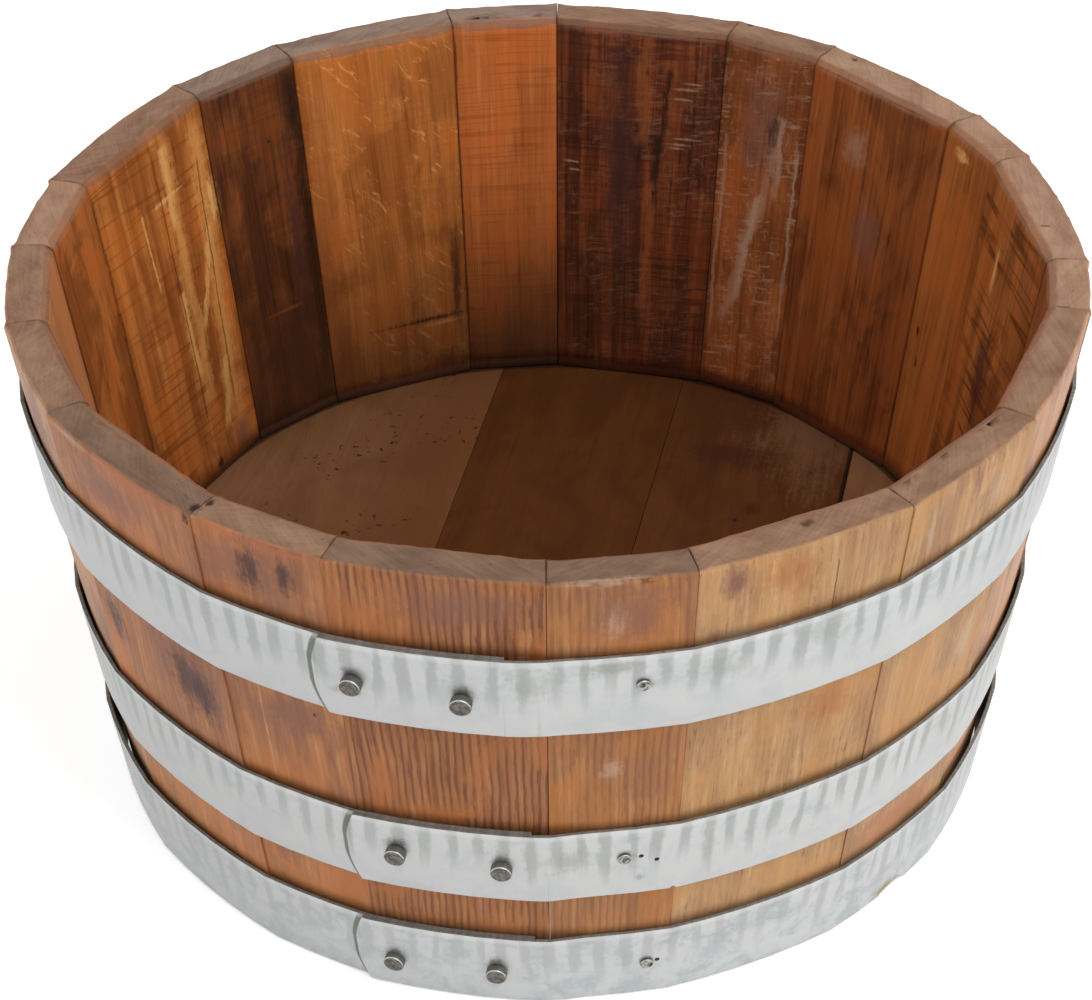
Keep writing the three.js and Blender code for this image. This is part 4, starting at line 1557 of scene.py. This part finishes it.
@dataclass
class Fastener:
    """A rivet or nail, turned once on the bench and driven in wherever one is packed.

    Attributes:
        pattern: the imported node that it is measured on.
        dish: how far the middle of the face is sunk, as a share of the head's height.
        border, slope, bevel: width of the face's border, of the slope inside it and of the
            rounding of the edges, as shares of the head's radius.
        bench: the modelled fastener, on end with the middle of its node at the origin.
    """

    pattern: str
    dish: float
    border: float = 0.2
    slope: float = 0.35
    bevel: float = 0.15
    bench: Piece = None

    def axis(self, node: str) -> Tuple[Vector, Vector]:
        """Measures how a packed fastener lies.

        Args:
            node: its node.

        Returns:
            Its middle and the way its head faces.
        """
        points = np.array([vertex.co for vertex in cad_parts[node].data.vertices])
        middle = points.mean(0)
        _, directions = np.linalg.eigh(np.cov((points - middle).T))
        outwards = np.array([middle[0], middle[1], 0.0])
        outwards /= np.linalg.norm(outwards)
        axis = max(directions.T, key=lambda direction: abs(direction @ outwards))
        return Vector(middle), Vector(axis * np.sign(axis @ outwards))

    def model(self) -> None:
        """Models the fastener from a cylinder: a hammered head over a shank."""
        middle, axis = self.axis(self.pattern)
        points = [vertex.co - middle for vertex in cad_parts[self.pattern].data.vertices]
        along = [point.dot(axis) for point in points]
        aside = [(point - axis * reach).length for point, reach in zip(points, along)]
        radius = max(aside)
        top, tail = max(along), min(along)
        seat = min(reach for reach, side in zip(along, aside) if side > 0.9 * radius)
        shank = min(side for side in aside if side > 0.05 * radius)

        bpy.ops.object.select_all(action="DESELECT")
        bpy.ops.mesh.primitive_cylinder_add(
            vertices=24, radius=radius, depth=top - seat, location=(0, 0, (top + seat) / 2))
        self.bench = bpy.context.object
        with editing(self.bench):
            pick(self.bench, "FACE", lambda face: face.normal.z > 0.9)
            bpy.ops.mesh.inset(thickness=self.border * radius)
            bpy.ops.mesh.inset(thickness=self.slope * radius)
            bpy.ops.transform.translate(value=(0, 0, -self.dish * (top - seat)))
            pick(self.bench, "FACE", lambda face: face.normal.z < -0.9)
            bpy.ops.mesh.inset(thickness=radius - shank)
            bpy.ops.mesh.extrude_region_move(TRANSFORM_OT_translate={"value": (0, 0, tail - seat)})
            pick(self.bench, "EDGE", lambda edge: is_sharp(edge, 50, 0.0))
            bpy.ops.mesh.bevel(offset=self.bevel * radius, segments=3, affect="EDGES")
        take(self.bench)
        bpy.ops.object.transform_apply(location=True, rotation=True, scale=True)
        smooth(self.bench, SMOOTH_STEEL)

    def drive(self, node: str, finish: bpy.types.Material) -> None:
        """Copies the modelled fastener to where a node is, with a mesh of its own.

        Args:
            node: the node.
            finish: the copy's material.
        """
        middle, axis = self.axis(node)
        piece = bpy.data.objects.new(f"steel_{node}", self.bench.data.copy())
        bpy.context.scene.collection.objects.link(piece)
        turn = Vector((0, 0, 1)).rotation_difference(axis).to_matrix().to_4x4()
        piece.data.transform(Matrix.Translation(middle) @ turn)
        hand_over(piece, node, finish)

    def clear(self) -> None:
        """Takes the modelled fastener off the bench."""
        bpy.data.objects.remove(self.bench)


@dataclass
class Hoop:
    """One hoop with the smudges of dirt and painted shade round its fasteners.

    Attributes:
        name: its node.
        lap: azimuth where its upper layer ends, in degrees.
        seed: sets its pattern apart.
        mottle: how cloudy its zinc is, from 0 to 1.
        stains: smudges of its own.
        edge_ease: rounding of its edges.
        dirt: how far the dirt and painted shade round its rivets and nails cover.
    """

    name: str
    lap: float
    seed: float
    mottle: float
    stains: Sequence[Smudge] = ()
    edge_ease: float = 0.6 * MM
    dirt: float = 0.6

    def build(self) -> None:
        """Models and dresses the strip."""
        piece = solid_of(self.name, f"zinc_{self.name}")
        ease(piece, lambda edge: is_sharp(edge, SQUARE, 4 * MM), self.edge_ease, 2)
        smooth(piece, SMOOTH_STEEL)
        low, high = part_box(self.name)
        finish = Zinc(low.z, high.z, self.lap, self.seed, self.mottle, self.smudges())
        hand_over(piece, self.name, finish.material(f"zinc {self.name}"))

    def smudges(self) -> List[Smudge]:
        """The hoop's stains, and the dirt with painted shade above each rivet and round each nail.
        """
        found = list(self.stains)
        # dirt with painted shade above each rivet and in the dimple round each nail
        for kind, above, wide, tall in (("rivet", 5.0, 5.0, 4.0), ("nail", 0, 4.5, 3.5)):
            for node in self.fasteners(kind):
                low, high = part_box(node)
                middle = (low + high) / 2
                found.append((math.degrees(azimuth_of(middle)), middle.z / MM + above, wide, tall,
                              self.dirt, ZincTone.DIRT.value))
        return found

    def fasteners(self, kind: str) -> List[str]:
        """Nodes of its rivets or nails."""
        return [f"{self.name}_{kind}_{number + 1}" for number in range(FASTENERS[kind])]


GREENISH = ZincTone.GREENISH.value
HOOPS = (
    Hoop("bilge_hoop", -25.0, 1.3, 0.2, (
        (5, 200, 14, 5, 0.7, GREENISH), (-3, 192, 10, 9, 0.45, GREENISH),
        (16, 192, 12, 9, 0.35, GREENISH), (27, 196, 10, 8, 0.4, GREENISH),
        (-21.5, 179, 9, 2.5, 0.6, GREENISH))),
    Hoop("quarter_hoop", -24.1, 2.9, 0.25, (
        (1, 90, 12, 9, 0.5, GREENISH), (9, 76, 3, 2, 0.7, GREENISH))),
    Hoop("head_hoop", -25.0, 5.1, 0.8, ((46.6, 3.0, 12, 6.5, 1.0, Kind.RUST.value[0]),)),
)


def fasten() -> None:
    """Models one rivet and one nail, and drives copies of them into every hoop."""
    rivet_steel = ForgedSteel(1.0, ((0.075, 0.068, 0.058), (0.19, 0.175, 0.15)))
    nail_steel = ForgedSteel(2.0, ((0.030, 0.026, 0.018), (0.42, 0.42, 0.38)))
    for kind, dish, steel in (("rivet", 0.06, rivet_steel), ("nail", 0.25, nail_steel)):
        fastener = Fastener(HOOPS[0].fasteners(kind)[0], dish)
        fastener.model()
        finish = steel.material(f"steel of the {kind}s")
        for hoop in HOOPS:
            for node in hoop.fasteners(kind):
                fastener.drive(node, finish)
        fastener.clear()


# ---- Studio ------------------------------------------------------------------------------------


def seen_directly(sketch: Sketch) -> Term:
    """1 where the camera or a reflection looks, and 0 for light on its way to the tub."""
    rays = sketch.node("ShaderNodeLightPath")
    return sketch.math("MAXIMUM", Term(sketch, rays.outputs["Is Camera Ray"]),
                       Term(sketch, rays.outputs["Is Glossy Ray"]))


@dataclass
class Studio:
    """Pale floor, soft light and the camera.

    Attributes:
        eye: where the camera stands.
        down: how far it looks down, in degrees.
        right: how far it looks to the right.
        roll: how far it is rolled.
        lens: focal length in millimetres.
        sensor: width of its sensor in millimetres.
        far: how far it sees.
        floor_side: length of the floor's side.
        floor_tone: how pale the floor is.
        floor_glow: how much brighter it looks than it is lit.
        sky_light: strength of the light from all round.
        lamp_place: where the lamp hangs.
        lamp_side: length of its side.
        lamp_power: its power in watts.
    """

    eye: Tuple[float, float, float] = (-0.0185, -1.2188, 1.0013)
    down: float = 35.98
    right: float = 0.81
    roll: float = -0.54
    lens: float = 111.1
    sensor: float = 36
    far: float = 50
    floor_side: float = 30
    floor_tone: float = 0.94
    floor_glow: float = 0.5
    sky_light: float = 0.64
    lamp_place: Tuple[float, float, float] = (0.90, -0.90, 2.05)
    lamp_side: float = 1.3
    lamp_power: float = 21

    def build(self) -> None:
        """Sets up the whole studio."""
        self.camera()
        self.ground()
        self.sky()
        self.lamp()
        bpy.context.scene.view_settings.view_transform = "Standard"

    def place(self, name: str, data: bpy.types.ID, matrix: Matrix) -> Piece:
        """Stands a camera or lamp in the studio.

        Args:
            name: its name.
            data: the camera or light.
            matrix: where it is and how it is turned.

        Returns:
            Its object.
        """
        stood = bpy.data.objects.new(name, data)
        stood.matrix_world = matrix
        bpy.context.scene.collection.objects.link(stood)
        return stood

    def camera(self) -> None:
        """The photograph's camera."""
        data = bpy.data.cameras.new("camera")
        data.lens = self.lens
        data.sensor_width = self.sensor
        data.clip_end = self.far
        bpy.context.scene.camera = self.place("camera", data, (
            Matrix.Translation(self.eye)
            @ Matrix.Rotation(-math.radians(self.right), 4, "Z")
            @ Matrix.Rotation(math.radians(90 - self.down), 4, "X")
            @ Matrix.Rotation(math.radians(self.roll), 4, "Z")))

    def ground(self) -> None:
        """Plain pale floor, a little brighter to the camera than it is lit."""
        bpy.ops.object.select_all(action="DESELECT")
        bpy.ops.mesh.primitive_plane_add(size=self.floor_side, location=(0, 0, 0))
        ground = bpy.context.object
        ground.name = "studio_floor"
        material, sketch = new_material("studio floor")
        shader = sketch.node("ShaderNodeBsdfPrincipled")
        sketch.fill(shader, {
            "Base Color": (self.floor_tone,) * 3, "Roughness": 0.9, "Specular IOR Level": 0.1,
            "Emission Color": (1, 1, 1),
            "Emission Strength": seen_directly(sketch) * self.floor_glow})
        sketch.end(shader, "Material")
        ground.data.materials.append(material)

    def sky(self) -> None:
        """Even light from all round, which looks white to the camera and in reflections."""
        world = bpy.data.worlds.new("studio")
        world.use_nodes = True
        world.node_tree.nodes.clear()
        sketch = Sketch(world.node_tree)
        strength = seen_directly(sketch) * (1 - self.sky_light) + self.sky_light
        background = sketch.node("ShaderNodeBackground")
        sketch.fill(background, {"Color": (1, 1, 1), "Strength": strength})
        sketch.end(background, "World")
        bpy.context.scene.world = world

    def lamp(self) -> None:
        """A square soft lamp aimed at the tub."""
        data = bpy.data.lights.new("key", "AREA")
        data.size = self.lamp_side
        data.energy = self.lamp_power
        aim = Vector((0, 0, TUB.height / 2)) - Vector(self.lamp_place)
        turn = aim.to_track_quat("-Z", "Y").to_matrix().to_4x4()
        self.place("key", data, Matrix.Translation(self.lamp_place) @ turn)


def main() -> None:
    """Builds the tub and the studio."""
    logging.basicConfig(level=logging.INFO, format="%(name)s: %(message)s")
    Wall().build()
    Floor().build()
    for hoop in HOOPS:
        hoop.build()
    fasten()
    Studio().build()


if __name__ == "__main__":
    main()
